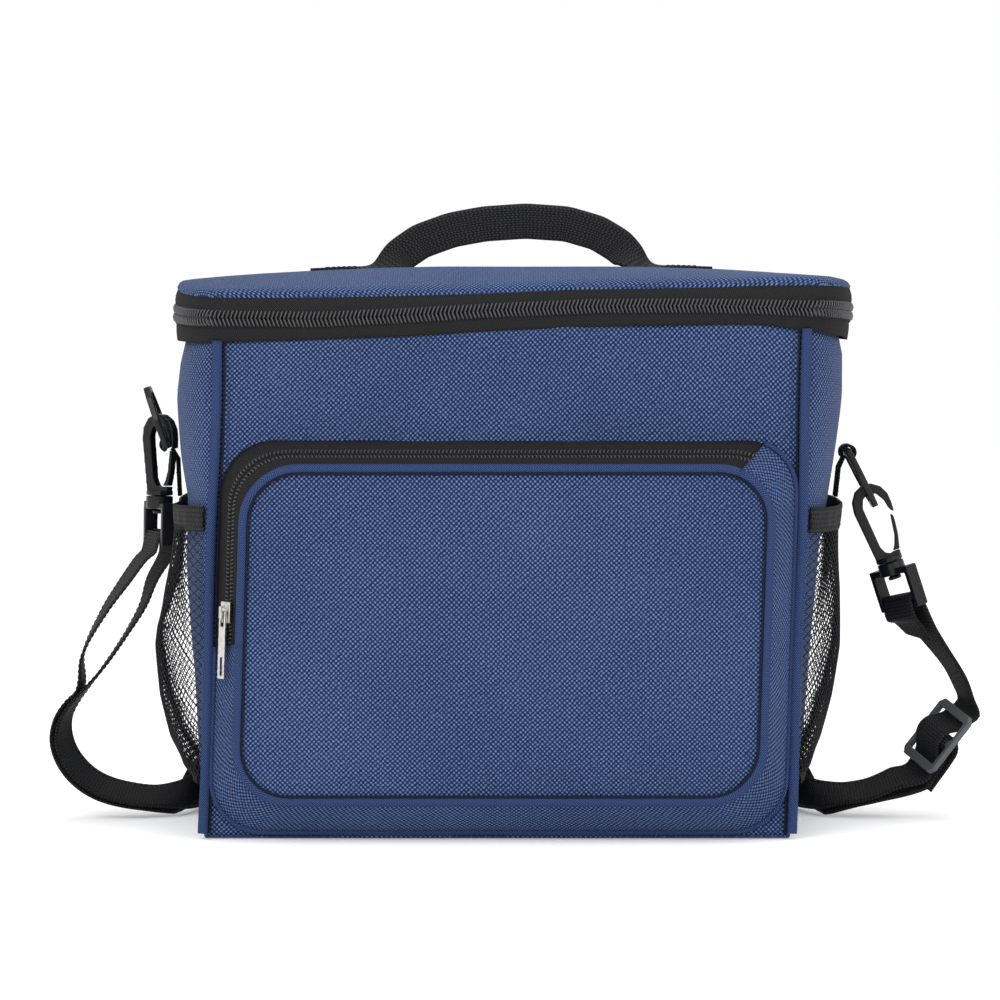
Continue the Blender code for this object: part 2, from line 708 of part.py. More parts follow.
def yoke(word, plastic):
    """The swivel yoke under a hook: a bored collar, two ears and the webbing's bar."""
    frame = yoke_frame(word)
    collar = turned(f"yoke_{word}", frame, ((7.2, -0.2), (7.2, -7.0)), plastic)
    bore = turned(f"yoke_bore_{word}", frame, ((2.8, 2.0), (2.8, -12.0)), plastic)
    beam = block(f"yoke_beam_{word}", frame, (-16 * MM, -7 * MM, -3.4 * MM), (16 * MM, -3.6 * MM, 3.4 * MM), plastic)
    pieces = [beam]
    for side in (-1, 1):
        ear = block(f"yoke_ear_{word}{side}", frame, (min(side * 13.2, side * 16.4) * MM, -26 * MM, -3.6 * MM),
                    (max(side * 13.2, side * 16.4) * MM, -3.5 * MM, 3.6 * MM), plastic)
        pieces.append(ear)
    bar = block(f"yoke_bar_{word}", frame, (-14 * MM, -24.6 * MM, -1.9 * MM), (14 * MM, -20.8 * MM, 1.9 * MM), plastic)
    pieces.append(bar)
    combine(collar, pieces)
    combine(collar, [bore], "DIFFERENCE")


# ---------------------------------------------------------------- the shoulder strap

GLIDE_AT = Vector((235.6, 2.0, 43.6)) * MM
GLIDE_ALONG = Vector((-0.61, 0.0, -0.79)).normalized()
GLIDE_ACROSS = Vector((-0.38, 0.88, 0.29)).normalized()
GLIDE_FACE = Vector((-0.695, -0.477, 0.537)).normalized()


def tri_glide(plastic):
    """The strap's adjuster: a frame with a bar across its middle."""
    frame = local_frame(GLIDE_AT, GLIDE_ACROSS, GLIDE_ALONG, GLIDE_FACE)
    long = 18.5 * MM
    wide = 16.5 * MM
    outer = [(-wide + 3 * MM, -long), (wide - 3 * MM, -long), (wide, -long + 3 * MM), (wide, long - 3 * MM),
             (wide - 3 * MM, long), (-wide + 3 * MM, long), (-wide, long - 3 * MM), (-wide, -long + 3 * MM)]
    slot = 13.6 * MM
    open_to = 13.5 * MM
    inner = [(-slot, -open_to), (slot, -open_to), (slot, -open_to + MM), (slot, open_to - MM),
             (slot, open_to), (-slot, open_to), (-slot, open_to - MM), (-slot, -open_to + MM)]
    body = ring_plate("tri_glide", frame, outer, inner, -1.6 * MM, 1.6 * MM, plastic)
    bar = block("tri_glide_bar", frame, (-15 * MM, -2 * MM, -1.5 * MM), (15 * MM, 2 * MM, 1.5 * MM), plastic)
    combine(body, [bar])



YOKE_TURN = {"left": -34, "right": -56}
BAR_DROP = 22.7


def yoke_frame(word):
    """The yoke's own frame: local X along its bar, Y up through the collar."""
    middle, frame, _ = hook_frame(word)
    return frame @ Matrix.Rotation(math.radians(YOKE_TURN[word]), 4, "Y")


def by_yoke(word, out, up):
    """A strap route point near a yoke's bar, `out` from the bar across it and `up` towards the hook."""
    frame = yoke_frame(word)
    point = frame @ Vector((0, (up - BAR_DROP) * MM, -out * MM))
    wide = frame.to_3x3() @ Vector((1, 0, 0))
    if wide.y < 0:
        wide = -wide
    return (*(value / MM for value in point), *wide)


def by_glide(along, out):
    """A strap route point near the glide, in millimetres along it and out of its face."""
    point = GLIDE_AT + GLIDE_ALONG * along * MM + GLIDE_FACE * out * MM
    return (*(value / MM for value in point), *GLIDE_ACROSS)


def unit(value):
    return Vector(value).normalized()


# Free parts of the routes: x, y, z in mm, then the direction across the webbing.
RIGHT_TAIL = ((225.4, 4.0, 96.4, -0.47, 0.86, 0.10), (219.2, 2.6, 104.0, -0.52, 0.84, 0.0))
RIGHT_FALL = ((226.6, 3.4, 103.0, -0.52, 0.84, 0.0), (233.6, 3.4, 93.4, -0.47, 0.86, 0.10),
              (244.4, 3.2, 78.2, -0.42, 0.88, 0.20), (249.2, 3.4, 67.4, -0.38, 0.88, 0.29))
UNDER = (
    (213.0, 7.0, 20.2, -0.10, 0.93, 0.36),
    (199.6, 10.0, 14.2, -0.03, 0.93, 0.36),
    (185.4, 13.0, 11.5, 0.0, 0.93, 0.36),
    (173.6, 19.0, 10.7, -0.10, 0.85, 0.52),
    (165.6, 32.0, 12.7, -0.10, 0.50, 0.86),
    (161.6, 50.0, 14.0, 0.0, 0.10, 0.99),
    (161.6, 76.0, 14.4, 0.0, 0.0, 1.0),
    (159.4, 93.0, 14.4, 0.0, 0.0, 1.0),
    (148.0, 103.4, 14.4, 0.0, 0.0, 1.0),
    (120.0, 106.2, 14.4, 0.0, 0.0, 1.0),
    (60.0, 108.0, 14.4, 0.0, 0.0, 1.0),
    (0.0, 109.0, 14.4, 0.0, 0.0, 1.0),
    (-60.0, 108.0, 14.4, 0.0, 0.0, 1.0),
    (-120.0, 106.2, 14.4, 0.0, 0.0, 1.0),
    (-148.0, 103.4, 14.4, 0.0, 0.0, 1.0),
    (-159.4, 93.0, 14.4, 0.0, 0.0, 1.0),
    (-161.6, 76.0, 14.4, 0.0, 0.0, 1.0),
    (-160.8, 50.0, 14.0, 0.0, 0.10, 0.99),
    (-163.6, 32.0, 12.7, 0.05, 0.50, 0.86),
    (-171.0, 18.0, 10.9, 0.05, 0.85, 0.52),
    (-184.0, 10.0, 10.5, 0.05, 0.93, 0.36),
    (-198.0, 5.0, 12.7, 0.08, 0.93, 0.36),
    (-212.0, 2.0, 17.4, 0.15, 0.93, 0.33),
    (-223.6, -1.0, 26.6, 0.25, 0.93, 0.25),
    (-231.0, -3.0, 41.0, 0.30, 0.95, 0.10),
    (-229.6, -4.0, 55.0, 0.20, 0.97, 0.05),
    (-220.0, -4.6, 68.6, 0.10, 0.99, 0.04),
)
LEFT_RISE = (
    (-209.0, -5.0, 82.0, -0.05, 0.99, 0.02),
    (-198.0, -5.2, 98.0, -0.10, 0.99, 0.0),
    (-188.6, -4.6, 114.0, -0.20, 0.98, 0.0),
    (-183.6, -5.0, 128.0, -0.30, 0.95, 0.0),
)
LEFT_FALL = (
    (-189.4, -6.4, 139.0, -0.33, 0.94, 0.0),
    (-198.0, -7.0, 127.0, -0.30, 0.95, 0.0),
    (-209.0, -7.0, 111.0, -0.20, 0.98, 0.0),
    (-220.6, -6.6, 88.0, -0.05, 0.99, 0.0),
)


def smooth_route(points, step=9.0):
    """Points and width directions along a smooth line through the route, in millimetres."""
    knots = [(Vector(p[:3]), unit(p[3:])) for p in points]
    found = []
    for i in range(len(knots) - 1):
        before = knots[max(i - 1, 0)][0]
        start, start_dir = knots[i]
        end, end_dir = knots[i + 1]
        after = knots[min(i + 2, len(knots) - 1)][0]
        count = max(int(round((end - start).length / step)), 1)
        for k in range(count):
            t = k / count
            span = (end - start).length
            lead = (end - before).normalized() * span
            trail = (after - start).normalized() * span
            h = (2 * t ** 3 - 3 * t * t + 1, t ** 3 - 2 * t * t + t, 3 * t * t - 2 * t ** 3, t ** 3 - t * t)
            place = start * h[0] + lead * h[1] + end * h[2] + trail * h[3]
            found.append((place, (start_dir * (1 - t) + end_dir * t).normalized()))
    found.append(knots[-1])
    return found


def normals_of(route):
    """At each point of a route, the unit direction out of the webbing's face."""
    found = []
    for i, (_, wide) in enumerate(route):
        ahead = route[min(i + 1, len(route) - 1)][0] - route[max(i - 1, 0)][0]
        found.append(ahead.normalized().cross(wide).normalized())
    return found


def beside(points, gap):
    """The same route, moved out of the webbing's face by a gap that grows where it twists."""
    route = [(Vector(p[:3]), unit(p[3:])) for p in points]
    found = []
    for i, ((place, wide), out) in enumerate(zip(route, normals_of(route))):
        twist = route[max(i - 1, 0)][1].angle(route[min(i + 1, len(route) - 1)][1])
        found.append((*(place + out * (gap + 5.6 * twist)), *wide))
    return found


def ribbon(name, points, finish):
    """A flat run of webbing along a route."""
    route = smooth_route(points)
    sections = []
    for (place, wide), out in zip(route, normals_of(route)):
        across = wide * WEB_WIDE / MM / 2
        deep = out * WEB / MM / 2
        ring = (place - across - deep, place + across - deep, place + across + deep, place - across + deep)
        sections.append([tuple(value * MM for value in corner) for corner in ring])
    return sweep(name, sections, finish, smooth=True)


def strap(webbing):
    """The long run from the right yoke to the left one, and the return run back to the glide's bar."""
    long_run = [*RIGHT_TAIL, by_yoke("right", -4.4, -8), by_yoke("right", -4.2, -2), by_yoke("right", -3.0, 3.0),
                by_yoke("right", 0, 4.3), by_yoke("right", 3.0, 3.0), by_yoke("right", 4.2, -2), *RIGHT_FALL]
    through = ((-22, -4.6), (-16.5, -3.5), (-11.6, -2.0), (-8, 1.0), (-4.6, 4.4), (0, 5.6), (4.6, 4.4), (8, 1.0),
               (11.6, -2.0), (16.5, -3.5), (23, -3.6))
    long_run += [by_glide(*pair) for pair in through]
    under = [(*place, *wide) for place, wide in smooth_route(UNDER)]
    long_run += [*under, *LEFT_RISE, by_yoke("left", 4.4, -8), by_yoke("left", 4.2, -2), by_yoke("left", 3.0, 3.0),
                 by_yoke("left", 0.4, 4.3)]
    ribbon("strap_long_run", long_run, webbing)
    back = [by_yoke("left", -2.2, 3.6), by_yoke("left", -4.2, -1.6), by_yoke("left", -5.4, -7), *LEFT_FALL]
    back += beside(under[2:], STRAND_GAP)[::-1]
    looped = ((26, -6.8), (18, -6.4), (10, -5.4), (5.8, -3.0), (3.9, -0.4), (2.6, 2.4), (0, 3.1), (-2.6, 2.4),
              (-3.9, -0.4), (-3.0, -4.4), (1.0, -8.0), (9, -9.2), (18, -9.6), (26, -10.0))
    back += [by_glide(*pair) for pair in looped]
    ribbon("strap_return_run", back, webbing)


# ---------------------------------------------------------------- the whole bag

def main():
    for old in list(bpy.data.objects):
        bpy.data.objects.remove(old, do_unlink=True)
    navy = material("navy_oxford", (0.035, 0.065, 0.19), 0.85)
    navy_piping = material("navy_piping", (0.03, 0.055, 0.16), 0.85)
    foam = material("foam", (0.82, 0.83, 0.84), 0.9)
    silver = material("silver_lining", (0.72, 0.74, 0.77), 0.35)
    black_coil = material("black_coil", (0.012, 0.012, 0.014), 0.4)
    black_tape = material("black_tape", (0.016, 0.016, 0.018), 0.9)
    webbing = material("black_webbing", (0.02, 0.02, 0.022), 0.85)
    net = material("black_net", (0.015, 0.015, 0.017), 0.9)
    elastic = material("black_elastic", (0.018, 0.018, 0.02), 0.9)
    plastic = material("black_acetal", (0.02, 0.02, 0.022), 0.4)
    metal = material("nickel_zinc", (0.6, 0.6, 0.62), 0.28, 1.0)
    walls(navy, foam, silver)
    seam_pipings(navy_piping)
    lid(navy, foam, silver, black_coil, black_tape)
    handle(webbing)
    pocket(navy, black_coil, black_tape)
    lid_slider(metal)
    pocket_slider(metal)
    for word, side in (("left", -1), ("right", 1)):
        side_pocket(word, side, net, elastic)
        ring_and_tab(word, side, plastic, webbing)
        hook(word, plastic)
        yoke(word, plastic)
    tri_glide(plastic)
    strap(webbing)


main()
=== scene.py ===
import math

import bmesh
import bpy
import numpy as np
from mathutils import Matrix, Vector


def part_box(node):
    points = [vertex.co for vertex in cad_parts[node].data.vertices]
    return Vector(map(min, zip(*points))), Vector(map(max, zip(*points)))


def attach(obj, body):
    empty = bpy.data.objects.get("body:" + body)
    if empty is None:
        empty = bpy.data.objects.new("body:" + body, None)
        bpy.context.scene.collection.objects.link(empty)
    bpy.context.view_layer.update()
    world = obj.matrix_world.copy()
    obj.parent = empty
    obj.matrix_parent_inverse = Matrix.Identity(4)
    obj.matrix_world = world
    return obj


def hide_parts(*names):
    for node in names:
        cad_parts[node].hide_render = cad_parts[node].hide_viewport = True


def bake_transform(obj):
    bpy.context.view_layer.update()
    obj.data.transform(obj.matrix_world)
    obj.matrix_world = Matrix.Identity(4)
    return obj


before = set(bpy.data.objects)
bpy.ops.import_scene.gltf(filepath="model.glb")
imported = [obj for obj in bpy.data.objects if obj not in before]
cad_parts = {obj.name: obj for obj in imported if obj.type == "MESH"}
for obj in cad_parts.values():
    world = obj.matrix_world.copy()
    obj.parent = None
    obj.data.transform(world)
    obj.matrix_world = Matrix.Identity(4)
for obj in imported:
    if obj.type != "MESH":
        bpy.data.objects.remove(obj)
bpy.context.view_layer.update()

MM = 0.001
GAP = 0.3 * MM
DEPTH = 190 * MM
SEAM_HALF = 149.5 * MM  # from the middle to the front's and back's side seams
BASE_HALF = 153 * MM  # half the width at mid depth, at the base
RIM_HALF = 175.5 * MM  # the same at the rim
SWELL_HEIGHT = 223 * MM  # where the sides stop widening
CORNER_DEPTH = 26 * MM  # how deep the rear corners' rounding is
LEAN = 0.031  # sideways lean, for each unit of height
WALL_TOP = 255.7 * MM

# The lid zip, which runs round the front and both sides, and the lid above it.
ZIP_END = 86 * MM  # how far back the zip runs, from mid depth
ZIP_HEIGHT = 270.1 * MM
TAPE_FOOT = 255.6 * MM
TAPE_HEAD = 283 * MM
LID_EDGE = 282.8 * MM
CROWN = 10.5 * MM
HINGE_HEIGHT = 277 * MM

# Where the handle's webbing leaves the lid.
HANDLE_FOOT = 296.5 * MM
HANDLE_MIDDLE = 0.0088

# The front pocket: a rounded box zipped along its left side and top.
# Half its width, its lowest and its highest height, at its back and at its front.
POCKET_BACK = (147 * MM, 4 * MM, 204.5 * MM)
POCKET_FRONT = (134 * MM, 21 * MM, 190.5 * MM)
POCKET_CORNER = 27 * MM
POCKET_DEEP = 18 * MM
POCKET_ZIP_LOW = 100 * MM

# Webbing.
WEB = 1.4 * MM
WEB_WIDE = 25 * MM
STRAND_GAP = 2.2  # in mm, between the two strands where they lie together


def half_width(z):
    """Half the bag's width at height z, at mid depth."""
    rise = min(max(z, 0.0) / SWELL_HEIGHT, 1.0)
    return BASE_HALF + (RIM_HALF - BASE_HALF) * (1 - (1 - rise) ** 1.35)


def side_point(side, y, share, z, inset):
    """A point of the wall on one side (-1 left, 1 right)."""
    swell = (half_width(z) - SEAM_HALF) * share
    return (side * (SEAM_HALF - inset + swell) + LEAN * z, y, z)


def local_frame(origin, across, along, facing):
    """A matrix from local (across, along, facing) to the bag's space."""
    columns = Matrix((across, along, facing)).transposed().to_4x4()
    return Matrix.Translation(origin) @ columns


def yoke_frame(word):
    """The yoke's own frame: local X along its bar, Y up through the collar and along the hook."""
    middle, (ax, az), turn = HOOKS[word]
    along = Vector((ax, 0, az)).normalized()
    across = Matrix.Rotation(math.radians(turn), 3, along) @ Vector((along.z, 0, -along.x))
    hook = local_frame(middle, across, along, across.cross(along))
    return hook @ Matrix.Rotation(math.radians(YOKE_TURN[word]), 4, "Y")


def by_yoke(word, out, up):
    """A strap route point near a yoke's bar, `out` from the bar across it and `up` towards the hook."""
    yoke = yoke_frame(word)
    point = yoke @ Vector((0, (up - BAR_DROP) * MM, -out * MM))
    wide = yoke.to_3x3() @ Vector((1, 0, 0))
    if wide.y < 0:
        wide = -wide
    return (*(value / MM for value in point), *wide)


def by_glide(along, out):
    """A strap route point near the glide, in millimetres along it and out of its face."""
    point = GLIDE_AT + GLIDE_ALONG * along * MM + GLIDE_FACE * out * MM
    return (*(value / MM for value in point), *GLIDE_ACROSS)


def unit(value):
    return Vector(value).normalized()


def smooth_route(points, step=9.0):
    """Points and width directions along a smooth line through the route, in millimetres."""
    knots = [(Vector(p[:3]), unit(p[3:])) for p in points]
    found = []
    for i in range(len(knots) - 1):
        before = knots[max(i - 1, 0)][0]
        start, start_dir = knots[i]
        end, end_dir = knots[i + 1]
        after = knots[min(i + 2, len(knots) - 1)][0]
        count = max(int(round((end - start).length / step)), 1)
        for k in range(count):
            t = k / count
            span = (end - start).length
            lead = (end - before).normalized() * span
            trail = (after - start).normalized() * span
            h = (2 * t ** 3 - 3 * t * t + 1, t ** 3 - 2 * t * t + t, 3 * t * t - 2 * t ** 3, t ** 3 - t * t)
            place = start * h[0] + lead * h[1] + end * h[2] + trail * h[3]
            found.append((place, (start_dir * (1 - t) + end_dir * t).normalized()))
    found.append(knots[-1])
    return found


def normals_of(route):
    """At each point of a route, the unit direction out of the webbing's face."""
    found = []
    for i, (_, wide) in enumerate(route):
        ahead = route[min(i + 1, len(route) - 1)][0] - route[max(i - 1, 0)][0]
        found.append(ahead.normalized().cross(wide).normalized())
    return found


def beside(points, gap):
    """The same route, moved out of the webbing's face by a gap that grows where it twists."""
    route = [(Vector(p[:3]), unit(p[3:])) for p in points]
    found = []
    for i, ((place, wide), out) in enumerate(zip(route, normals_of(route))):
        twist = route[max(i - 1, 0)][1].angle(route[min(i + 1, len(route) - 1)][1])
        found.append((*(place + out * (gap + 5.6 * twist)), *wide))
    return found


def bulged(side, y, z, lift):
    """A point beside the wall, `lift` out from it at mid depth and nearly on it at the seams.

    Behind the left hook the net's upper part is pressed flat.
    """
    reach = min(abs(y) / (92 * MM), 1.0)
    if side < 0:
        height = min(max((z - 105 * MM) / (35 * MM), 0.0), 1.0)
        lift *= 1 - 0.97 * height * math.exp(-((y + 14 * MM) / (26 * MM)) ** 2)
    corner = FRONT_CORNER if y < 0 else CORNER_DEPTH
    share = math.sqrt(max(1 - (max(abs(y) - DEPTH / 2 + corner, 0) / corner) ** 2, 0))
    x, _, _ = side_point(side, y, share, z, 0.0)
    return (x + side * (0.6 * MM + lift * (1 - reach ** 2.5)), y, z)


Y_POCKET = -DEPTH / 2 - GAP
GLIDE_AT = Vector((235.6, 2.0, 43.6)) * MM
GLIDE_ALONG = Vector((-0.61, 0.0, -0.79)).normalized()
GLIDE_ACROSS = Vector((-0.38, 0.88, 0.29)).normalized()
GLIDE_FACE = Vector((-0.695, -0.477, 0.537)).normalized()
YOKE_TURN = {"left": -34, "right": -56}  # degrees about the hook
BAR_DROP = 22.7  # in mm, from the hook's collar to the yoke's bar
TABS = {
    # word: the ring's pivot (x, z), the tab's lowest point, its span in y
    "left": ((-175.6 * MM, 199.6 * MM), 172 * MM, (-2 * MM, 13 * MM)),
    "right": ((186.5 * MM, 195.5 * MM), 172 * MM, (-10 * MM, 10 * MM)),
}
HOOKS = {
    # word: collar's top middle, long axis (x, z), turn about it in degrees
    "left": (Vector((-179.4 * MM, -7.5 * MM, 172.6 * MM)), (0.02, 1.0), -34),
    "right": (Vector((209.5 * MM, 0.0, 136.9 * MM)), (-0.308, 0.951), 0),
}
# How full each net hangs.
NET_SLACK = {"left": 1.0, "right": 0.66}
# Height and bulge of the nets, in mm.
NET_LEVELS = ((28, 1.6), (34, 9), (46, 14), (68, 17), (95, 17.5), (125, 12), (145, 6.5), (157.5, 3.6))
BAND = (157.8 * MM, 169.8 * MM)

# The strap's route: x, y and z in mm, then the direction of its width.
RIGHT_TAIL = ((225.4, 4, 96.4, -0.47, 0.86, 0.10), (219.2, 2.6, 104, -0.52, 0.84, 0))
RIGHT_FALL = ((226.6, 3.4, 103, -0.52, 0.84, 0), (233.6, 3.4, 93.4, -0.47, 0.86, 0.10),
              (244.4, 3.2, 78.2, -0.42, 0.88, 0.20), (249.2, 3.4, 67.4, -0.38, 0.88, 0.29))
UNDER = (
    (213, 7, 20.2, -0.10, 0.93, 0.36),
    (199.6, 10, 14.2, -0.03, 0.93, 0.36),
    (185.4, 13, 11.5, 0, 0.93, 0.36),
    (173.6, 19, 10.7, -0.10, 0.85, 0.52),
    (165.6, 32, 12.7, -0.10, 0.50, 0.86),
    (161.6, 50, 14, 0, 0.10, 0.99),
    (161.6, 76, 14.4, 0, 0, 1),
    (159.4, 93, 14.4, 0, 0, 1),
    (148, 103.4, 14.4, 0, 0, 1),
    (120, 106.2, 14.4, 0, 0, 1),
    (60, 108, 14.4, 0, 0, 1),
    (0, 109, 14.4, 0, 0, 1),
    (-60, 108, 14.4, 0, 0, 1),
    (-120, 106.2, 14.4, 0, 0, 1),
    (-148, 103.4, 14.4, 0, 0, 1),
    (-159.4, 93, 14.4, 0, 0, 1),
    (-161.6, 76, 14.4, 0, 0, 1),
    (-160.8, 50, 14, 0, 0.10, 0.99),
    (-163.6, 32, 12.7, 0.05, 0.50, 0.86),
    (-171, 18, 10.9, 0.05, 0.85, 0.52),
    (-184, 10, 10.5, 0.05, 0.93, 0.36),
    (-198, 5, 12.7, 0.08, 0.93, 0.36),
    (-212, 2, 17.4, 0.15, 0.93, 0.33),
    (-223.6, -1, 26.6, 0.25, 0.93, 0.25),
    (-231, -3, 41, 0.30, 0.95, 0.10),
    (-229.6, -4, 55, 0.20, 0.97, 0.05),
    (-220, -4.6, 68.6, 0.10, 0.99, 0.04),
)
LEFT_RISE = (
    (-209, -5, 82, -0.05, 0.99, 0.02),
    (-198, -5.2, 98, -0.10, 0.99, 0),
    (-188.6, -4.6, 114, -0.20, 0.98, 0),
    (-183.6, -5, 128, -0.30, 0.95, 0),
)
LEFT_FALL = (
    (-189.4, -6.4, 139, -0.33, 0.94, 0),
    (-198, -7, 127, -0.30, 0.95, 0),
    (-209, -7, 111, -0.20, 0.98, 0),
    (-220.6, -6.6, 88, -0.05, 0.99, 0),
)


# ---------- node materials

def srgb(r, g, b):
    """A linear colour from 8-bit display values."""
    found = []
    for value in (r, g, b):
        share = value / 255
        found.append(share / 12.92 if share <= 0.04045 else ((share + 0.055) / 1.055) ** 2.4)
    return (*found, 1.0)


class Nodes:
    """Short ways to add nodes to one material."""

    def __init__(self, name):
        self.made = bpy.data.materials.new(name)
        self.made.use_nodes = True
        self.tree = self.made.node_tree
        self.shader = self.tree.nodes["Principled BSDF"]

    def add(self, kind, **settings):
        node = self.tree.nodes.new(kind)
        for key, value in settings.items():
            setattr(node, key, value)
        return node

    def link(self, source, target):
        self.tree.links.new(source, target)

    def put(self, socket, value):
        if isinstance(value, bpy.types.NodeSocket):
            self.link(value, socket)
        else:
            socket.default_value = value

    def math(self, operation, *values):
        node = self.add("ShaderNodeMath", operation=operation)
        for socket, value in zip(node.inputs, values):
            self.put(socket, value)
        return node.outputs[0]

    def uv(self):
        node = self.add("ShaderNodeUVMap", uv_map="cloth")
        parts = self.add("ShaderNodeSeparateXYZ")
        self.link(node.outputs[0], parts.inputs[0])
        return node.outputs[0], parts.outputs[0], parts.outputs[1]

    def noise(self, vector, scale, detail=2.0, roughness=0.5):
        node = self.add("ShaderNodeTexNoise")
        self.put(node.inputs["Vector"], vector)
        node.inputs["Scale"].default_value = scale
        node.inputs["Detail"].default_value = detail
        node.inputs["Roughness"].default_value = roughness
        return node.outputs[0]

    def spot(self):
        return self.add("ShaderNodeTexCoord").outputs["Object"]

    def ramp(self, value, *stops):
        node = self.add("ShaderNodeValToRGB")
        ends = node.color_ramp.elements
        while len(ends) < len(stops):
            ends.new(0.5)
        for end, (place, colour) in zip(ends, stops):
            end.position = place
            end.color = colour
        self.put(node.inputs[0], value)
        return node.outputs[0]

    def bump(self, height, distance, strength=1.0):
        node = self.add("ShaderNodeBump")
        node.inputs["Strength"].default_value = strength
        node.inputs["Distance"].default_value = distance
        self.link(height, node.inputs["Height"])
        self.link(node.outputs[0], self.shader.inputs["Normal"])

    def finish(self, colour, roughness, metallic=0.0, sheen=0.0, specular=0.5):
        self.put(self.shader.inputs["Base Color"], colour)
        self.put(self.shader.inputs["Roughness"], roughness)
        self.shader.inputs["Metallic"].default_value = metallic
        self.shader.inputs["Sheen Weight"].default_value = sheen
        self.shader.inputs["Specular IOR Level"].default_value = specular
        return self.made


def wave(n, value, pitch, phase=0.0):
    """A sine of a coordinate in metres, with one cycle per pitch."""
    turned = n.math("MULTIPLY_ADD", value, math.tau / pitch, phase)
    return n.math("SINE", turned)


def oxford(name, dark, middle, light, pitch):
    """Basket-weave oxford cloth: a diagonal grid of thread crossings, a little uneven. Its colour follows the
    weave's height: painted highlights on the crossings and painted shade in the gaps between them, over the
    cloth's own cloudy and slubbed tone.
    """
    n = Nodes(name)
    vector, u, v = n.uv()
    drift = n.math("MULTIPLY_ADD", n.noise(vector, 260.0, 3.0), 0.0011, -0.00055)
    u_moved = n.math("ADD", u, drift)
    v_moved = n.math("SUBTRACT", v, drift)
    weave = n.math("MULTIPLY", wave(n, u_moved, pitch), wave(n, v_moved, pitch))
    thread = n.math("MULTIPLY", wave(n, u_moved, pitch / 4), wave(n, v_moved, pitch / 4))
    height = n.math("MULTIPLY_ADD", weave, 0.5, 0.5)
    height = n.math("MULTIPLY_ADD", thread, 0.07, height)
    cloudy = n.noise(vector, 9.0, 4.0, 0.6)
    slub = n.noise(vector, 620.0, 2.0)
    level = n.math("ADD", height, n.math("MULTIPLY_ADD", cloudy, 0.26, -0.13))
    level = n.math("ADD", level, n.math("MULTIPLY_ADD", slub, 0.5, -0.25))
    # Painted highlight and shade: the ramp's light end goes on the thread crossings, its dark end in the gaps
    # between them.
    colour = n.ramp(level, (0.12, dark), (0.52, middle), (0.98, light))
    n.bump(height, 0.00035, 0.75)
    return n.finish(colour, 0.82, sheen=0.03, specular=0.12)


def ribbed(name, dark, light, pitch, across=1.4 * MM, depth=0.0004):
    """Webbing: ribs across the length, split by lengthwise warp lines that shift every other rib."""
    n = Nodes(name)
    vector, u, v = n.uv()
    lanes = wave(n, v, across * 2)
    side = n.math("SIGN", lanes)
    ribs = n.math("SINE", n.math("MULTIPLY_ADD", u, math.tau / pitch, n.math("MULTIPLY", side, 0.9)))
    height = n.math("MULTIPLY_ADD", ribs, 0.4, n.math("MULTIPLY", n.math("ABSOLUTE", lanes), 0.5))
    speck = n.noise(vector, 900.0)
    level = n.math("ADD", n.math("MULTIPLY_ADD", height, 0.5, 0.3), n.math("MULTIPLY_ADD", speck, 0.5, -0.25))
    colour = n.ramp(level, (0.1, dark), (0.95, light))
    n.bump(height, depth, 0.8)
    return n.finish(colour, 0.62, specular=0.06)


def tape_cloth(name, dark, light, pitch, fold_at):
    """Woven tape: herringbone."""
    n = Nodes(name)
    vector, u, v = n.uv()
    fold = n.math("PINGPONG", v, fold_at)
    twill = n.math("SINE", n.math("MULTIPLY", n.math("ADD", u, fold), math.tau / pitch))
    height = n.math("MULTIPLY_ADD", twill, 0.5, 0.5)
    level = n.math("ADD", height, n.math("MULTIPLY_ADD", n.noise(vector, 1100.0), 0.6, -0.3))
    colour = n.ramp(level, (0.0, dark), (1.0, light))
    n.bump(height, 0.00018, 0.7)
    return n.finish(colour, 0.8, specular=0.06)


def moulded(name, colour, rough=0.36):
    """Moulded black acetal: soft gloss, faint orange peel and handling marks."""
    n = Nodes(name)
    spot = n.spot()
    scuffs = n.noise(spot, 160.0, 5.0, 0.65)
    n.bump(n.noise(spot, 2200.0, 2.0), 0.00004, 0.5)
    return n.finish(colour, n.math("MULTIPLY_ADD", scuffs, 0.28, rough - 0.14), specular=0.28)


def nickel(name):
    """Plated zinc, worn unevenly."""
    n = Nodes(name)
    spot = n.spot()
    worn = n.noise(spot, 330.0, 5.0, 0.7)
    colour = n.ramp(worn, (0.25, (0.42, 0.40, 0.38, 1)), (0.75, (0.80, 0.78, 0.75, 1)))
    n.bump(n.noise(spot, 900.0, 3.0), 0.00005, 0.4)
    return n.finish(colour, n.math("MULTIPLY_ADD", worn, 0.3, 0.16), metallic=1.0)


def plain(name, colour, rough, scale, depth=0.0002):
    """A plain surface with fine grain."""
    n = Nodes(name)
    spot = n.spot()
    grain = n.noise(spot, scale, 4.0, 0.6)
    shade = n.ramp(grain, (0.2, tuple(c * 0.8 for c in colour[:3]) + (1,)), (0.8, colour))
    n.bump(grain, depth, 0.6)
    return n.finish(shade, rough, specular=0.3)


def crinkled(name):
    """Silvered lining film with soft creases."""
    n = Nodes(name)
    spot = n.spot()
    folds = n.noise(spot, 34.0, 6.0, 0.62)
    shade = n.ramp(folds, (0.3, (0.30, 0.31, 0.33, 1)), (0.7, (0.52, 0.54, 0.56, 1)))
    n.bump(folds, 0.004, 0.55)
    return n.finish(shade, 0.34, metallic=0.75)
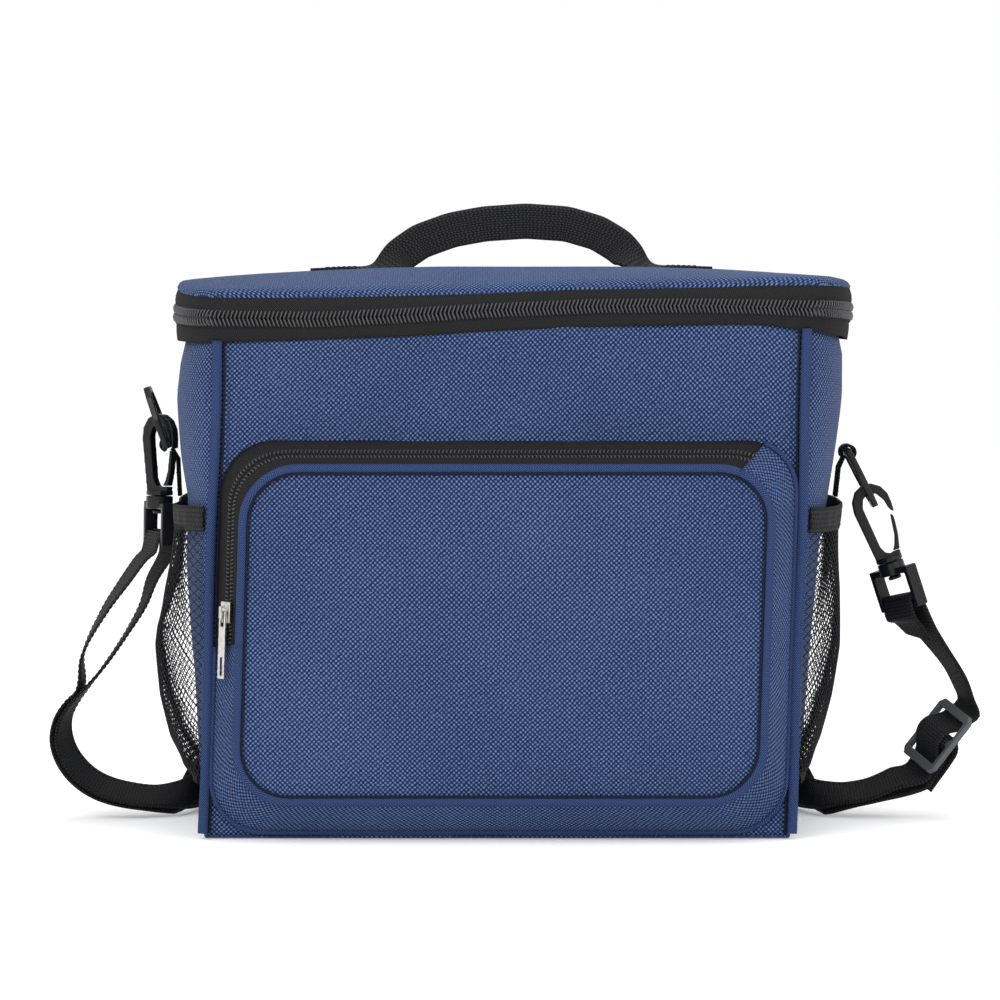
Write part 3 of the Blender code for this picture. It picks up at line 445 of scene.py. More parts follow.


# The navy's light colour is a painted highlight on the weave's crossings, its dark colour painted shade
# between them.
NAVY = oxford("navy oxford", srgb(13, 24, 51), srgb(36, 53, 90), srgb(102, 123, 168), 2.5 * MM)
NAVY_TRIM = tape_cloth("navy trim", srgb(15, 25, 52), srgb(64, 82, 126), 1.3 * MM, 3.4 * MM)
TAPE_BLACK = tape_cloth("zip tape black", srgb(3, 3, 4), srgb(52, 52, 53), 1.1 * MM, 2.2 * MM)
# Dark colour for thin tubes of painted shade in the grooves beside the piping.
SEAM_SHADE = plain("seam shadow", srgb(14, 20, 40), 0.9, 900.0)
# The coil is black; its colour is lifted to dark grey as a painted highlight, standing in for the glints on
# its loops.
COIL_BLACK = plain("zip coil black", (0.07, 0.07, 0.074, 1), 0.2, 1500.0, depth=0.00003)
WEBBING = ribbed("strap webbing", srgb(2, 2, 3), srgb(58, 58, 59), 1.7 * MM)
HANDLE_WEB = ribbed("handle webbing", srgb(2, 2, 3), srgb(60, 60, 61), 2.2 * MM, 1.3 * MM, depth=0.0005)
ELASTIC = ribbed("elastic band", srgb(14, 14, 15), srgb(62, 62, 64), 1.3 * MM, 2.4 * MM)
NETTING = plain("net thread", (0.010, 0.010, 0.011, 1), 0.75, 1500.0)
PLASTIC = moulded("black acetal", (0.006, 0.006, 0.007, 1))
PLASTIC_GREY = moulded("worn acetal", (0.075, 0.078, 0.085, 1), 0.42)
METAL = nickel("nickel")
THREAD_NAVY = plain("navy thread", srgb(34, 46, 82), 0.7, 2500.0)
THREAD_BLACK = plain("black thread", srgb(20, 20, 22), 0.7, 2500.0)
FOAM_WHITE = plain("white foam", (0.80, 0.81, 0.82, 1), 0.9, 700.0, depth=0.0005)
SILVER = crinkled("silver lining")


# ---------- mesh helpers

def add_object(name, data):
    made = bpy.data.objects.new(name, data)
    bpy.context.scene.collection.objects.link(made)
    return made


def mesh_piece(name, verts, faces, finish, uvs=None, smooth=True):
    """An object from arrays; uvs are one pair per vertex, in metres of cloth."""
    mesh = bpy.data.meshes.new(name)
    verts = np.asarray(verts, float).reshape(-1, 3)
    mesh.from_pydata(verts.tolist(), [], [tuple(int(i) for i in face) for face in faces])
    if uvs is not None:
        layer = mesh.uv_layers.new(name="cloth")
        corners = np.zeros(len(mesh.loops), np.int32)
        mesh.loops.foreach_get("vertex_index", corners)
        layer.data.foreach_set("uv", np.asarray(uvs, np.float32).reshape(-1, 2)[corners].ravel())
    if smooth:
        mesh.shade_smooth()
    mesh.materials.append(finish)
    return add_object(name, mesh)


def grid_faces(rows, columns, wrap_rows=False, wrap_columns=False):
    index = np.arange(rows * columns).reshape(rows, columns)
    if wrap_rows:
        index = np.vstack([index, index[:1]])
    if wrap_columns:
        index = np.hstack([index, index[:, :1]])
    return np.stack([index[:-1, :-1], index[1:, :-1], index[1:, 1:], index[:-1, 1:]], axis=-1).reshape(-1, 4)


def tube_faces(count, sides):
    """The faces of a tube of rings, with flat ends."""
    ends = [tuple(range(sides))[::-1], tuple(range((count - 1) * sides, count * sides))]
    return [tuple(face) for face in grid_faces(count, sides, False, True)] + ends


def lengths(points):
    """Distance along a polyline, from its start."""
    points = np.asarray(points, float)
    return np.concatenate([[0.0], np.cumsum(np.linalg.norm(np.diff(points, axis=0), axis=1))])


def relaxed(line, times):
    """A polyline with its corners eased, its ends where they were."""
    for _ in range(times):
        line[1:-1] = (line[:-2] + 2 * line[1:-1] + line[2:]) / 4
    return line


def settle(made):
    """The object's mesh with its modifiers applied."""
    graph = bpy.context.evaluated_depsgraph_get()
    mesh = bpy.data.meshes.new_from_object(made.evaluated_get(graph))
    made.modifiers.clear()
    made.data = mesh
    return made


def cloth_grid(name, points, finish, uvs=None, thick=1.2 * MM):
    """A sheet through a grid of points, given a thickness."""
    rows, columns = points.shape[:2]
    if uvs is None:
        u = lengths(points[:, columns // 2])
        v = lengths(points[rows // 2])
        uvs = np.stack(np.meshgrid(u, v, indexing="ij"), axis=-1)
    made = mesh_piece(name, points, grid_faces(rows, columns), finish, uvs)
    thicken(made, thick, 0.0)
    return made


def close_middle(made, count):
    """Fills the small ring left at the middle of a sheet built inwards from its edge."""
    bm = bmesh.new()
    bm.from_mesh(made.data)
    bm.verts.ensure_lookup_table()
    layer = bm.loops.layers.uv["cloth"]
    last = list(bm.verts)[-count:]
    centre = bm.verts.new(sum((v.co for v in last), Vector()) / count)
    placed = {v: v.link_loops[0][layer].uv.copy() for v in last}
    placed[centre] = sum(placed.values(), Vector((0, 0))) / count
    for first, second in zip(last, last[1:] + last[:1]):
        face = bm.faces.new((first, second, centre))
        for loop in face.loops:
            loop[layer].uv = placed[loop.vert]
        face.smooth = True
    bmesh.ops.recalc_face_normals(bm, faces=bm.faces)
    bm.to_mesh(made.data)
    bm.free()


def round_sheet(name, rings, finish, uvs):
    """A sheet with no thickness yet, built of closed rings from its edge inwards."""
    made = mesh_piece(name, rings, grid_faces(*rings.shape[:2], False, True), finish, uvs)
    close_middle(made, rings.shape[1])
    return made


def thicken(made, thick, offset):
    solid = made.modifiers.new("thickness", "SOLIDIFY")
    solid.thickness = thick
    solid.offset = offset
    settle(made)


def tube(name, path, radius, finish, sides=10, squash=1.0, up=(0, 0, 1)):
    """A round cord along a path, with UVs in metres."""
    path = np.asarray([tuple(p) for p in path], float)
    ahead = np.gradient(path, axis=0)
    ahead /= np.linalg.norm(ahead, axis=1)[:, None]
    side = np.cross(ahead, np.asarray(up, float))
    weak = np.linalg.norm(side, axis=1) < 0.2
    side[weak] = np.cross(ahead[weak], (0.0, 1.0, 0.0))
    side /= np.linalg.norm(side, axis=1)[:, None]
    over = np.cross(side, ahead)
    turn = np.arange(sides) * math.tau / sides
    rings = path[:, None] + radius * (
        side[:, None] * np.cos(turn)[None, :, None] + squash * over[:, None] * np.sin(turn)[None, :, None])
    uvs = np.stack(np.meshgrid(lengths(path), turn * radius, indexing="ij"), -1)
    return mesh_piece(name, rings, tube_faces(len(path), sides), finish, uvs)


def resample(path, step):
    """Points evenly spaced along a polyline."""
    path = np.asarray([tuple(p) for p in path], float)
    along = lengths(path)
    count = max(int(along[-1] / step), 2)
    want = np.linspace(0, along[-1], count + 1)
    return np.stack([np.interp(want, along, path[:, i]) for i in range(path.shape[1])], -1)


def join(name, pieces, finish):
    """One object from several (verts, faces) pairs."""
    verts = []
    faces = []
    start = 0
    for points, quads in pieces:
        verts.append(np.asarray(points, float).reshape(-1, 3))
        faces += [tuple(int(i) + start for i in quad) for quad in quads]
        start += len(verts[-1])
    return mesh_piece(name, np.concatenate(verts), faces, finish)


def capsule(a, b, radius, out):
    """One thread stitch between two points: six sided, with small ends."""
    a = np.asarray(a, float)
    b = np.asarray(b, float)
    ahead = (b - a) / max(np.linalg.norm(b - a), 1e-9)
    out = np.asarray(out, float)
    side = np.cross(ahead, out)
    side /= max(np.linalg.norm(side), 1e-9)
    out = np.cross(side, ahead)
    rings = []
    for share, size in ((0.0, 0.35), (0.14, 0.9), (0.5, 1.0), (0.86, 0.9), (1.0, 0.35)):
        middle = a + (b - a) * share - out * radius * (0.9 if size < 0.5 else 0.0)
        for i in range(6):
            turn = math.tau * i / 6
            rings.append(middle + radius * size * (side * math.cos(turn) + 0.7 * out * math.sin(turn)))
    return rings, tube_faces(5, 6)


def stitches(name, path, normals, finish, pitch=3.6 * MM, radius=0.32 * MM, lift=0.25 * MM):
    """A line of stitches along a path lying on cloth; the normals point out of it."""
    path = np.asarray([tuple(p) for p in path], float)
    normals = np.broadcast_to(np.asarray(normals, float), path.shape)
    both = np.hstack([path, normals])
    along = lengths(path)
    count = max(int(along[-1] / pitch), 1)
    pieces = []
    for i in range(count):
        ends = []
        for place in (i + 0.15, i + 0.85):
            want = place * along[-1] / count
            ends.append(np.array([np.interp(want, along, both[:, k]) for k in range(6)]))
        out = (ends[0][3:] + ends[1][3:]) / 2
        out /= max(np.linalg.norm(out), 1e-9)
        pieces.append(capsule(ends[0][:3] + out * lift, ends[1][:3] + out * lift, radius, out))
    return join(name, pieces, finish)


def done(made, body, slot, *nodes):
    """Attaches the piece to the body it moves with and hides the CAD nodes it stands for."""
    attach(made, body)
    if nodes:
        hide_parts(*nodes)
    return made


def done_blended(made, bodies, start, end, slot, *nodes):
    """For a piece that spans two bodies: bakes its transform into its mesh and hides the CAD nodes it stands
    for; it is attached to no body and does not bend. The bodies, the two points and the slot are not used.
    """
    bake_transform(made)
    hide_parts(*nodes)


def ripples(u, v, seed, size):
    """Soft unevenness of cloth, the same every time."""
    rng = np.random.default_rng(seed)
    total = np.zeros(np.broadcast(u, v).shape)
    for _ in range(9):
        wide = rng.uniform(0.035, 0.13)
        angle = rng.uniform(0, math.tau)
        phase = rng.uniform(0, math.tau)
        total = total + np.sin((u * math.cos(angle) + v * math.sin(angle)) * math.tau / wide + phase) * wide
    return total / 0.5 * size


# ---------- the walls

# Height against how far the side is pinched in there, in mm.
LEFT_PINCH = ((0, 60, 140, 173, 196, 227, 243, 257), (0.0, 1.0, 2.2, 4.6, 2.0, 0.4, 1.6, 4.5))
RIGHT_PINCH = ((0, 60, 150, 205, 228, 248, 257), (0.0, 1.5, 6.0, 2.6, 1.4, 2.0, 4.2))
FRONT_CORNER = 68 * MM
CLOTH_HALF = 0.6 * MM
WALL_HEIGHTS = np.linspace(0, WALL_TOP + 1.5 * MM, 56)
# Place across the front against height above level, in mm: the lower tape, the zip, the lid's edge.
LOW_SAG = ((-150, -100, -50, 0, 35, 72, 105, 135, 155, 172),
           (-1.1, 0.4, 2.1, 5.2, 6.6, 7.6, 8.2, 8.4, 5.6, 3.8))
MID_SAG = ((-150, -92, -50, 0, 54, 104, 155, 175), (-2.8, -3.8, -1.8, 1.3, 3.5, 3.5, 2.0, 1.8))
TOP_SAG = ((-150, -100, -20, 0, 40, 105, 140, 172), (-4.6, -4.8, -3.3, -2.6, -0.7, 0.3, 1.6, 1.8))


def sag(x, y, z=ZIP_HEIGHT):
    """How far the wall's top, the zip and the lid's edge stray from level, along the front."""
    ahead = np.clip((-np.asarray(y) - 35 * MM) / (DEPTH / 2 - 35 * MM), 0, 1)
    across = np.asarray(x) / MM
    low, middle, top = (np.interp(across, *line) for line in (LOW_SAG, MID_SAG, TOP_SAG))
    above = np.clip((np.asarray(z) - TAPE_FOOT) / (14.5 * MM), 0, 1)
    over = np.clip((np.asarray(z) - ZIP_HEIGHT) / (12.9 * MM), 0, 1)
    return ((low + (middle - low) * above) * (1 - over) + top * over) * MM * ahead


def side_line(corner=10, straight=16, inset=0.0):
    """(y, share) round one side, front to back."""
    turns = [math.pi / 2 * i / corner for i in range(corner + 1)]
    ahead = DEPTH / 2 - inset - FRONT_CORNER
    behind = DEPTH / 2 - inset - CORNER_DEPTH
    front = [(-ahead - FRONT_CORNER * math.cos(turn), math.sin(turn)) for turn in turns]
    middle = [(-ahead + (ahead + behind) * i / straight, 1.0) for i in range(1, straight)]
    back = [(behind + CORNER_DEPTH * math.cos(turn), math.sin(turn)) for turn in reversed(turns)]
    return front + middle + back


def wall(word, points, u, v):
    """One wall's cloth, whose top edge sags as the zip does."""
    points[..., 2] += sag(points[..., 0], points[..., 1], TAPE_FOOT) * (v / WALL_TOP) ** 3
    made = cloth_grid(f"{word}_cloth", points, NAVY, np.stack([u, v], -1))
    done(made, "body", "navy_oxford", f"{word}_panel")


def side_wall(word, side, pinch, seed):
    line = side_line()
    rows = []
    for y, share in line:
        row = []
        for z in WALL_HEIGHTS:
            x, _, _ = side_point(side, y, share, z, CLOTH_HALF)
            x -= side * np.interp(z / MM, *pinch) * MM * share
            row.append((x, y * (1 - CLOTH_HALF / (DEPTH / 2)), z))
        rows.append(row)
    points = np.array(rows)
    u = lengths([(side_point(side, y, share, 0.2, 0)[0], y, 0) for y, share in line])
    grid_u, grid_v = np.meshgrid(u, WALL_HEIGHTS, indexing="ij")
    shares = np.array([share for _, share in line])[:, None]
    puff = ripples(grid_u, grid_v, seed, 0.9 * MM) * np.sin(math.pi * grid_v / WALL_TOP).clip(0) ** 0.5
    points[..., 0] += side * puff * (0.3 + 0.7 * shares)
    wall(word, points, grid_u, grid_v)


def long_wall(word, facing, seed):
    """The front or the back: fuller in the middle than at its seams."""
    across = np.linspace(-1, 1, 110)
    half = SEAM_HALF - 0.4 * MM
    grid_u, grid_v = np.meshgrid(across * half, WALL_HEIGHTS, indexing="ij")
    edge = (1 - np.abs(across) ** 6)[:, None]
    full = 2.2 * MM * np.sin(math.pi * grid_v / WALL_TOP).clip(0)
    puff = (ripples(grid_u, grid_v, seed, 0.9 * MM) + full) * edge - 1.1 * MM * (1 - edge)
    points = np.stack([grid_u + LEAN * grid_v, facing * (DEPTH / 2 - CLOTH_HALF + puff), grid_v], -1)
    wall(word, points, grid_u, grid_v)


def base():
    line = side_line()
    ring = [side_point(1, y, share, 0.0, 0.8 * MM) for y, share in line]
    ring += [side_point(-1, y, share, 0.0, 0.8 * MM) for y, share in reversed(line)]
    reach = np.array([1.0, 0.8, 0.5, 0.2])
    points = np.array(ring)[None] * reach[:, None, None]
    points[..., 2] = 0.8 * MM + 0.5 * MM * (1 - reach)[:, None]
    made = round_sheet("base_cloth", points, NAVY, points[..., :2].copy())
    thicken(made, 1.2 * MM, 0.0)
    done(made, "body", "navy_oxford", "base_panel")


def walls():
    side_wall("left", -1, LEFT_PINCH, 3)
    side_wall("right", 1, RIGHT_PINCH, 5)
    long_wall("front", -1, 7)
    long_wall("back", 1, 9)
    base()


def seams():
    """The covered cords down the four seams, with a thin dark tube of painted shade and a stitched line
    beside each.
    """
    for facing, row in ((-1, "front"), (1, "back")):
        for side, word in ((-1, "left"), (1, "right")):
            zs = np.linspace(2.5 * MM, WALL_TOP + 1 * MM, 90)
            sway = 0.5 * MM * np.sin(zs * 41 + side)
            xs = side * (SEAM_HALF + 1.6 * MM) + LEAN * zs + sway
            ys = np.full_like(zs, facing * (DEPTH / 2 + 0.9 * MM))
            path = np.stack([xs, ys, zs + sag(xs, ys, TAPE_FOOT) * (zs / WALL_TOP) ** 3], -1)
            made = tube(f"piping_{row}_{word}_cord", path, 2.6 * MM, NAVY_TRIM, 12, squash=0.85)
            done(made, "body", "navy_piping", f"piping_{row}_{word}")
            # A thin dark tube beside each cord: painted shade in the groove where the piping meets the wall.
            inner = path.copy()
            inner[:, 0] -= side * 3.6 * MM
            inner[:, 1] = facing * (DEPTH / 2 + 0.2 * MM)
            done(tube(f"seam_shade_line_{row}_{word}", inner, 0.55 * MM, SEAM_SHADE, 6), "body", "navy_piping")
            inner[:, 0] -= side * 2.6 * MM
            made = stitches(f"seam_stitches_{row}_{word}", inner, (0, facing, 0), THREAD_NAVY,
                            radius=0.17 * MM)
            done(made, "body", "navy_piping")


# ---------- the lid and its zip

def rim_line(inset, end=math.inf):
    """(x at no lean, y) round the rim, from the left rear round the front, up to the depth `end`."""
    found = []
    line = side_line(12, 22, inset)
    half = RIM_HALF - SEAM_HALF
    for side in (-1, 1):
        run = line[::-1] if side < 0 else line
        found += [(side * (SEAM_HALF - inset + half * share), y) for y, share in run]
    return [(x, y) for x, y in found if y <= end + 1e-9]


def filled_in(points, shape, step, closed):
    """The points, with more between them wherever the shape's own points lie far apart."""
    found = []
    for i in range(len(points) if closed else len(points) - 1):
        after = (i + 1) % len(points)
        (x, y), (next_x, next_y) = points[i], points[after]
        found.append((x, y))
        count = max(int(math.dist(shape[i], shape[after]) / step), 1)
        for k in range(1, count):
            share = k / count
            found.append((x + (next_x - x) * share, y + (next_y - y) * share))
    return found if closed else [*found, points[-1]]


def zip_path(inset, z):
    """The zip's line at one height, with its sag."""
    line = rim_line(inset, ZIP_END)
    line = filled_in(line, line, 6 * MM, False)
    points = np.array([(x + LEAN * z, y, z) for x, y in line])
    points[:, 2] += sag(points[:, 0], points[:, 1], z)
    return points


def outward(path, rise=(0.0, 0.0, 1.0)):
    """Normals perpendicular to a path and to the rise direction."""
    out = np.cross(np.gradient(path, axis=0), rise)
    return out / np.linalg.norm(out, axis=1)[:, None]


def coil_row(name, path, rise, finish, tall=2.0 * MM, lean=0.8 * MM, wide=2.2 * MM, thread=0.5 * MM):
    """Half a zip's coil: slanted loops of thread round a core, with their heads towards the other half."""
    ahead = np.gradient(path, axis=0)
    ahead /= np.linalg.norm(ahead, axis=1)[:, None]
    pieces = []
    turns = np.linspace(0, math.tau, 9)[:-1]
    ring = np.linspace(0, math.tau, 6)[:-1]
    up = np.array(rise)
    for place, forward, normal in zip(path, ahead, outward(path, rise)):
        loop = [place + up * (tall * math.cos(t)) + normal * (wide / 2 * math.sin(t))
                + forward * (lean * math.cos(t)) for t in turns]
        rings = []
        for t, point in zip(turns, loop):
            radial = up * math.cos(t) + normal * math.sin(t)
            rings += [point + thread * (radial * math.cos(a) + forward * math.sin(a)) for a in ring]
        pieces.append((rings, grid_faces(len(turns), len(ring), True, True)))
    return join(name, pieces, finish)


def band(name, low, high, bulge, finish):
    """A strip of tape between two heights round the zip's run."""
    lower = zip_path(0.0, low)
    upper = zip_path(0.0, high)
    out = outward(lower)
    columns = [lower * (1 - share) + upper * share + out * bulge * math.sin(math.pi * share)
               for share in np.arange(7) / 6]
    uvs = np.stack(np.meshgrid(lengths(lower), np.linspace(0, high - low, 7), indexing="ij"), -1)
    return cloth_grid(name, np.stack(columns, 1), finish, uvs, 0.9 * MM)


# Height and inset of the lid cloth's turned edge, in mm.
LID_EDGE_LINE = ((281.4, 0.2), (283.4, -0.5), (285.0, 0.4), (286.0, 1.9))


def zip_and_lid():
    middle = ZIP_HEIGHT
    up = (0.0, 0.0, 1.0)
    done(band("lid_zip_lower_tape_cloth", TAPE_FOOT, middle - 0.06 * MM, 0.7 * MM, TAPE_BLACK),
         "body", "black_tape", "lid_zip_lower_tape")
    done(band("lid_zip_upper_tape_cloth", middle + 0.06 * MM, TAPE_HEAD, 1.7 * MM, TAPE_BLACK),
         "lid", "black_tape", "lid_zip_upper_tape")
    low = resample(zip_path(-1.5 * MM, middle - 2.3 * MM), 2.1 * MM)
    high = resample(zip_path(-1.5 * MM, middle + 2.3 * MM), 2.1 * MM)
    shifted = (high[:-1] + high[1:]) / 2
    done(coil_row("lid_zip_lower_teeth", low, up, COIL_BLACK, lean=-0.8 * MM), "body", "black_coil",
         "lid_zip_lower_coil")
    done(coil_row("lid_zip_upper_teeth", shifted, up, COIL_BLACK), "lid", "black_coil", "lid_zip_upper_coil")
    for name, offset, body in (("lower", -4.9, "body"), ("upper", 4.9, "lid")):
        path = zip_path(-0.9 * MM, middle + offset * MM)
        cord = tube(f"lid_zip_{name}_core", path, 0.85 * MM, TAPE_BLACK, 8)
        done(cord, body, "black_tape")
    lid_cloth()


def lid_cloth():
    """The lid's top: a short edge that turns over onto a shallow dome."""
    rings = [np.array([(x, y, z * MM) for x, y in rim_full(inset * MM)]) for z, inset in LID_EDGE_LINE]
    base = np.array([(x, y) for x, y in rim_full(1.9 * MM)])
    for reach in (0.975, 0.94, 0.9, 0.84, 0.76, 0.66, 0.54, 0.4, 0.26, 0.12):
        xy = base * reach
        z = np.array([dome(x + LEAN * LID_EDGE, y) for x, y in xy])
        z += ripples(xy[:, 0], xy[:, 1], 21, 0.5 * MM) * (1 - reach ** 4) * min(reach / 0.5, 1)
        rings.append(np.column_stack([xy, z]))
    points = np.stack(rings)
    points[..., 0] += LEAN * LID_EDGE
    points[..., 2] += sag(points[..., 0], points[..., 1], TAPE_HEAD)
    uvs = points[..., :2].copy()
    for row, extra in zip(range(4), (6.2, 4.0, 2.2, 0.8)):
        size = np.linalg.norm(uvs[row], axis=1)
        uvs[row] *= (1 + extra * MM / size)[:, None]
    made = round_sheet("lid_cloth", points, NAVY, uvs)
    thicken(made, 1.3 * MM, 0.0)
    done(made, "lid", "navy_oxford", "lid_top_panel")


def rim_full(inset):
    """The whole rim, closed, with its long sides filled in."""
    return filled_in(rim_line(inset), rim_line(0.0), 9 * MM, True)


# ---------- the handle

HANDLE_LINE = (
    # x and height in mm, where a height under 10 is above the lid
    (-98.6, 0), (-86, 0), (-74, 0), (-66.5, 0.4), (-64.2, 296.6), (-61.5, 301.5), (-57.4, 306.6),
    (-44.9, 315.3), (-26.4, 322), (-7.9, 325.4), (15.2, 327), (38.3, 325.4), (56.8, 320), (70.2, 311.9),
    (77, 304), (79.4, 298), (82.5, 0.4), (90, 0), (102, 0), (113.6, 0),
)
# How far the webbing is folded at each of those points, in degrees.
HANDLE_BEND = (0, 0, 0, 8, 34, 60, 76, 86, 88, 88, 88, 88, 87, 83, 62, 34, 8, 0, 0, 0)
WEB_HALF = 19 * MM
SEWN_ROWS = (5, 143, 28, 125)  # rows of the handle stitched across to the lid


def dome(x, y):
    """The height of the cloth lid near its middle."""
    across = x - LEAN * LID_EDGE
    along = min(abs(across) / RIM_HALF, 1.0)
    deep = min(abs(y) / (DEPTH / 2), 1.0)
    fall = along ** (2.6 if across < 0 else 3.6)
    return LID_EDGE + 3.2 * MM + (CROWN - 3.0 * MM) * (1 - fall) * (1 - deep ** 3.0)


def handle_grid():
    """Rows along the webbing, columns across it: flat on the lid, folded double over the arch."""
    knots = []
    for (x, z), bend in zip(HANDLE_LINE, HANDLE_BEND):
        height = z * MM if z > 10 else dome(x * MM, 0.0) + 1.0 * MM + z * MM
        knots.append((x * MM, height, math.radians(bend)))
    knots = np.array(knots)
    along = lengths(knots[:, :2])
    want = np.linspace(0, along[-1], 150)
    line = relaxed(np.stack([np.interp(want, along, knots[:, k]) for k in range(3)], -1), 5)
    ahead = np.gradient(line[:, :2], axis=0)
    ahead /= np.linalg.norm(ahead, axis=1)[:, None]
    down = np.stack([ahead[:, 1], -ahead[:, 0]], -1)
    across = np.linspace(-WEB_HALF, WEB_HALF, 41)
    radius = 1.7 * MM
    rows = []
    for (x, z, bend), (dx, dz) in zip(line, down):
        row = []
        for s in across:
            rest = max(abs(s) - radius * bend, 0.0)
            turn = min(abs(s) / radius, bend) if bend > 1e-4 else 0.0
            y = radius * math.sin(turn) + rest * math.cos(bend)
            fall = radius * (1 - math.cos(turn)) + rest * math.sin(bend)
            wave_y = 0.7 * MM * math.sin(x * 70) * (rest / WEB_HALF)
            row.append((x + dx * fall, math.copysign(y, s) + wave_y, z + dz * fall))
        rows.append(row)
    grid = np.array(rows)
    sewn = (line[:, 2] < 0.02) & (np.abs(line[:, 0]) > 60 * MM)
    for i in np.where(sewn)[0]:
        for point in grid[i]:
            lowest = dome(point[0], point[1]) + 1.0 * MM
            point[2] = max(lowest, min(point[2], lowest + 4 * MM))
    return grid, want, across


def handle():
    grid, along, across = handle_grid()
    uvs = np.stack(np.meshgrid(along, across, indexing="ij"), -1)
    made = cloth_grid("handle_strap", grid, HANDLE_WEB, uvs, 1.5 * MM)
    low, high = HANDLE_FOOT - 1.5 * MM, HANDLE_FOOT + 9 * MM
    done_blended(made, ("lid", "handle"), (HANDLE_MIDDLE, 0, low), (HANDLE_MIDDLE, 0, high), "black_webbing",
                 "handle_webbing", "handle_end_left", "handle_end_right")
    lines = [grid[row, 3:-3] for row in SEWN_ROWS]
    for column in (4, 36):
        lines += [grid[5:22, column], grid[-22:-5, column]]
    for number, line in enumerate(lines):
        made = stitches(f"handle_end_stitches_{number}", line, (0, 0, 1), THREAD_BLACK, 2.6 * MM,
                        lift=0.95 * MM, radius=0.3 * MM)
        done(made, "lid", "black_webbing")


# ---------- the front pocket

CORNER_ROWS = 12
STRAIGHT_ROWS = 26


def rounded(half, low, high, corner, shrink):
    """A rounded rectangle in (x, z), from bottom right anticlockwise as seen from the front."""
    half -= shrink
    low += shrink
    high -= shrink
    corner = max(corner - shrink, 2 * MM)
    points = []
    corners = ((half - corner, low + corner, -90), (half - corner, high - corner, 0),
               (-half + corner, high - corner, 90), (-half + corner, low + corner, 180))
    for number, (x, z, start) in enumerate(corners):
        for i in range(CORNER_ROWS + 1):
            turn = math.radians(start + 90 * i / CORNER_ROWS)
            points.append((x + corner * math.cos(turn), z + corner * math.sin(turn)))
        next_x, next_z, turn = corners[(number + 1) % 4]
        turn = math.radians(turn)
        last = points[-1]
        first = (next_x + corner * math.cos(turn), next_z + corner * math.sin(turn))
        for k in range(1, STRAIGHT_ROWS):
            share = k / STRAIGHT_ROWS
            points.append((last[0] + (first[0] - last[0]) * share, last[1] + (first[1] - last[1]) * share))
    return np.array(points)


SIDE_ROWS = CORNER_ROWS + STRAIGHT_ROWS
ZIP_FIRST = SIDE_ROWS + 9


def pocket_edge(share, shrink=0.0):
    """The pocket's outline at a share of its depth, as (x, y, z), closed."""
    back = rounded(*POCKET_BACK, POCKET_CORNER, shrink)
    front = rounded(*POCKET_FRONT, POCKET_CORNER, shrink)
    ring = back + (front - back) * share
    count = len(ring)
    wobble = 0.5 * MM * np.sin(np.arange(count) * math.tau / count * 11 + 0.6)
    y = Y_POCKET - POCKET_DEEP * share + wobble * (1 - share) * share
    return np.stack([ring[:, 0] + LEAN * ring[:, 1], np.broadcast_to(y, (count,)), ring[:, 1]], -1)


def zip_last():
    """The row where the pocket's zip ends on its left side."""
    edge = pocket_edge(1.0)
    rows = range(3 * SIDE_ROWS - STRAIGHT_ROWS, 3 * SIDE_ROWS)
    return min(rows, key=lambda i: abs(edge[i, 2] - POCKET_ZIP_LOW))


def pocket_side(node, shares, rows, finish, body, slot, puff):
    """A strip of the pocket's side, between its first and last share of the depth."""
    columns = []
    taper = np.clip(np.minimum(np.arange(len(rows)), np.arange(len(rows))[::-1]) / 16, 0, 1)[:, None]
    for number, share in enumerate(shares):
        swell = puff * math.sin(math.pi * number / (len(shares) - 1))
        flat = pocket_edge(share)[rows]
        full = pocket_edge(share, -swell)[rows]
        columns.append(flat + (full - flat) * taper)
    points = np.stack(columns, 1)
    name = node.replace("_zip", "") + "_cloth"
    made = cloth_grid(name, points, finish, None, 0.9 * MM)
    done(made, body, slot, node)


def pocket_rows():
    last = zip_last()
    zipped = np.arange(ZIP_FIRST, last + 1)
    count = 4 * SIDE_ROWS
    plain_rows = np.arange(last, ZIP_FIRST + count + 1) % count
    return zipped, plain_rows


def pocket_face():
    """The pocket's puffed front in one piece."""
    edge = pocket_edge(1.0, 1.0 * MM)
    centre = np.array([LEAN * 0.105, 0, 0.105])
    rings = []
    reaches = np.concatenate([np.linspace(1.0, 0.9, 6), np.linspace(0.87, 0.12, 26)])
    for reach in reaches:
        ring = centre + (edge - centre) * reach
        depth = (1 - reach ** 5)
        lump = ripples(ring[:, 0], ring[:, 2], 31, 1.3 * MM)
        ring[:, 1] = edge[:, 1] - 0.4 * MM - 6.0 * MM * depth - lump * depth
        rings.append(ring)
    points = np.stack(rings)
    made = round_sheet("pocket_front_cloth", points, NAVY, points[..., [0, 2]].copy())
    inflate(made, len(edge), 2.4)
    thicken(made, 1.2 * MM, -1.0)
    left = np.array([-130.9, -115.9, 100.0]) * MM
    right = np.array([123.2, -115.9, 188.4]) * MM
    across = np.array([-(right - left)[2], 0, (right - left)[0]])
    across /= np.linalg.norm(across)
    middle = (left + right) / 2
    reach = across * 5 * MM
    done_blended(made, ("body", "pocket_flap"), tuple(middle - reach), tuple(middle + reach), "navy_oxford",
                 "pocket_front_panel", "pocket_flap")


CLOTH_FRAMES = 20
MOST_SWELL = 3.5 * MM


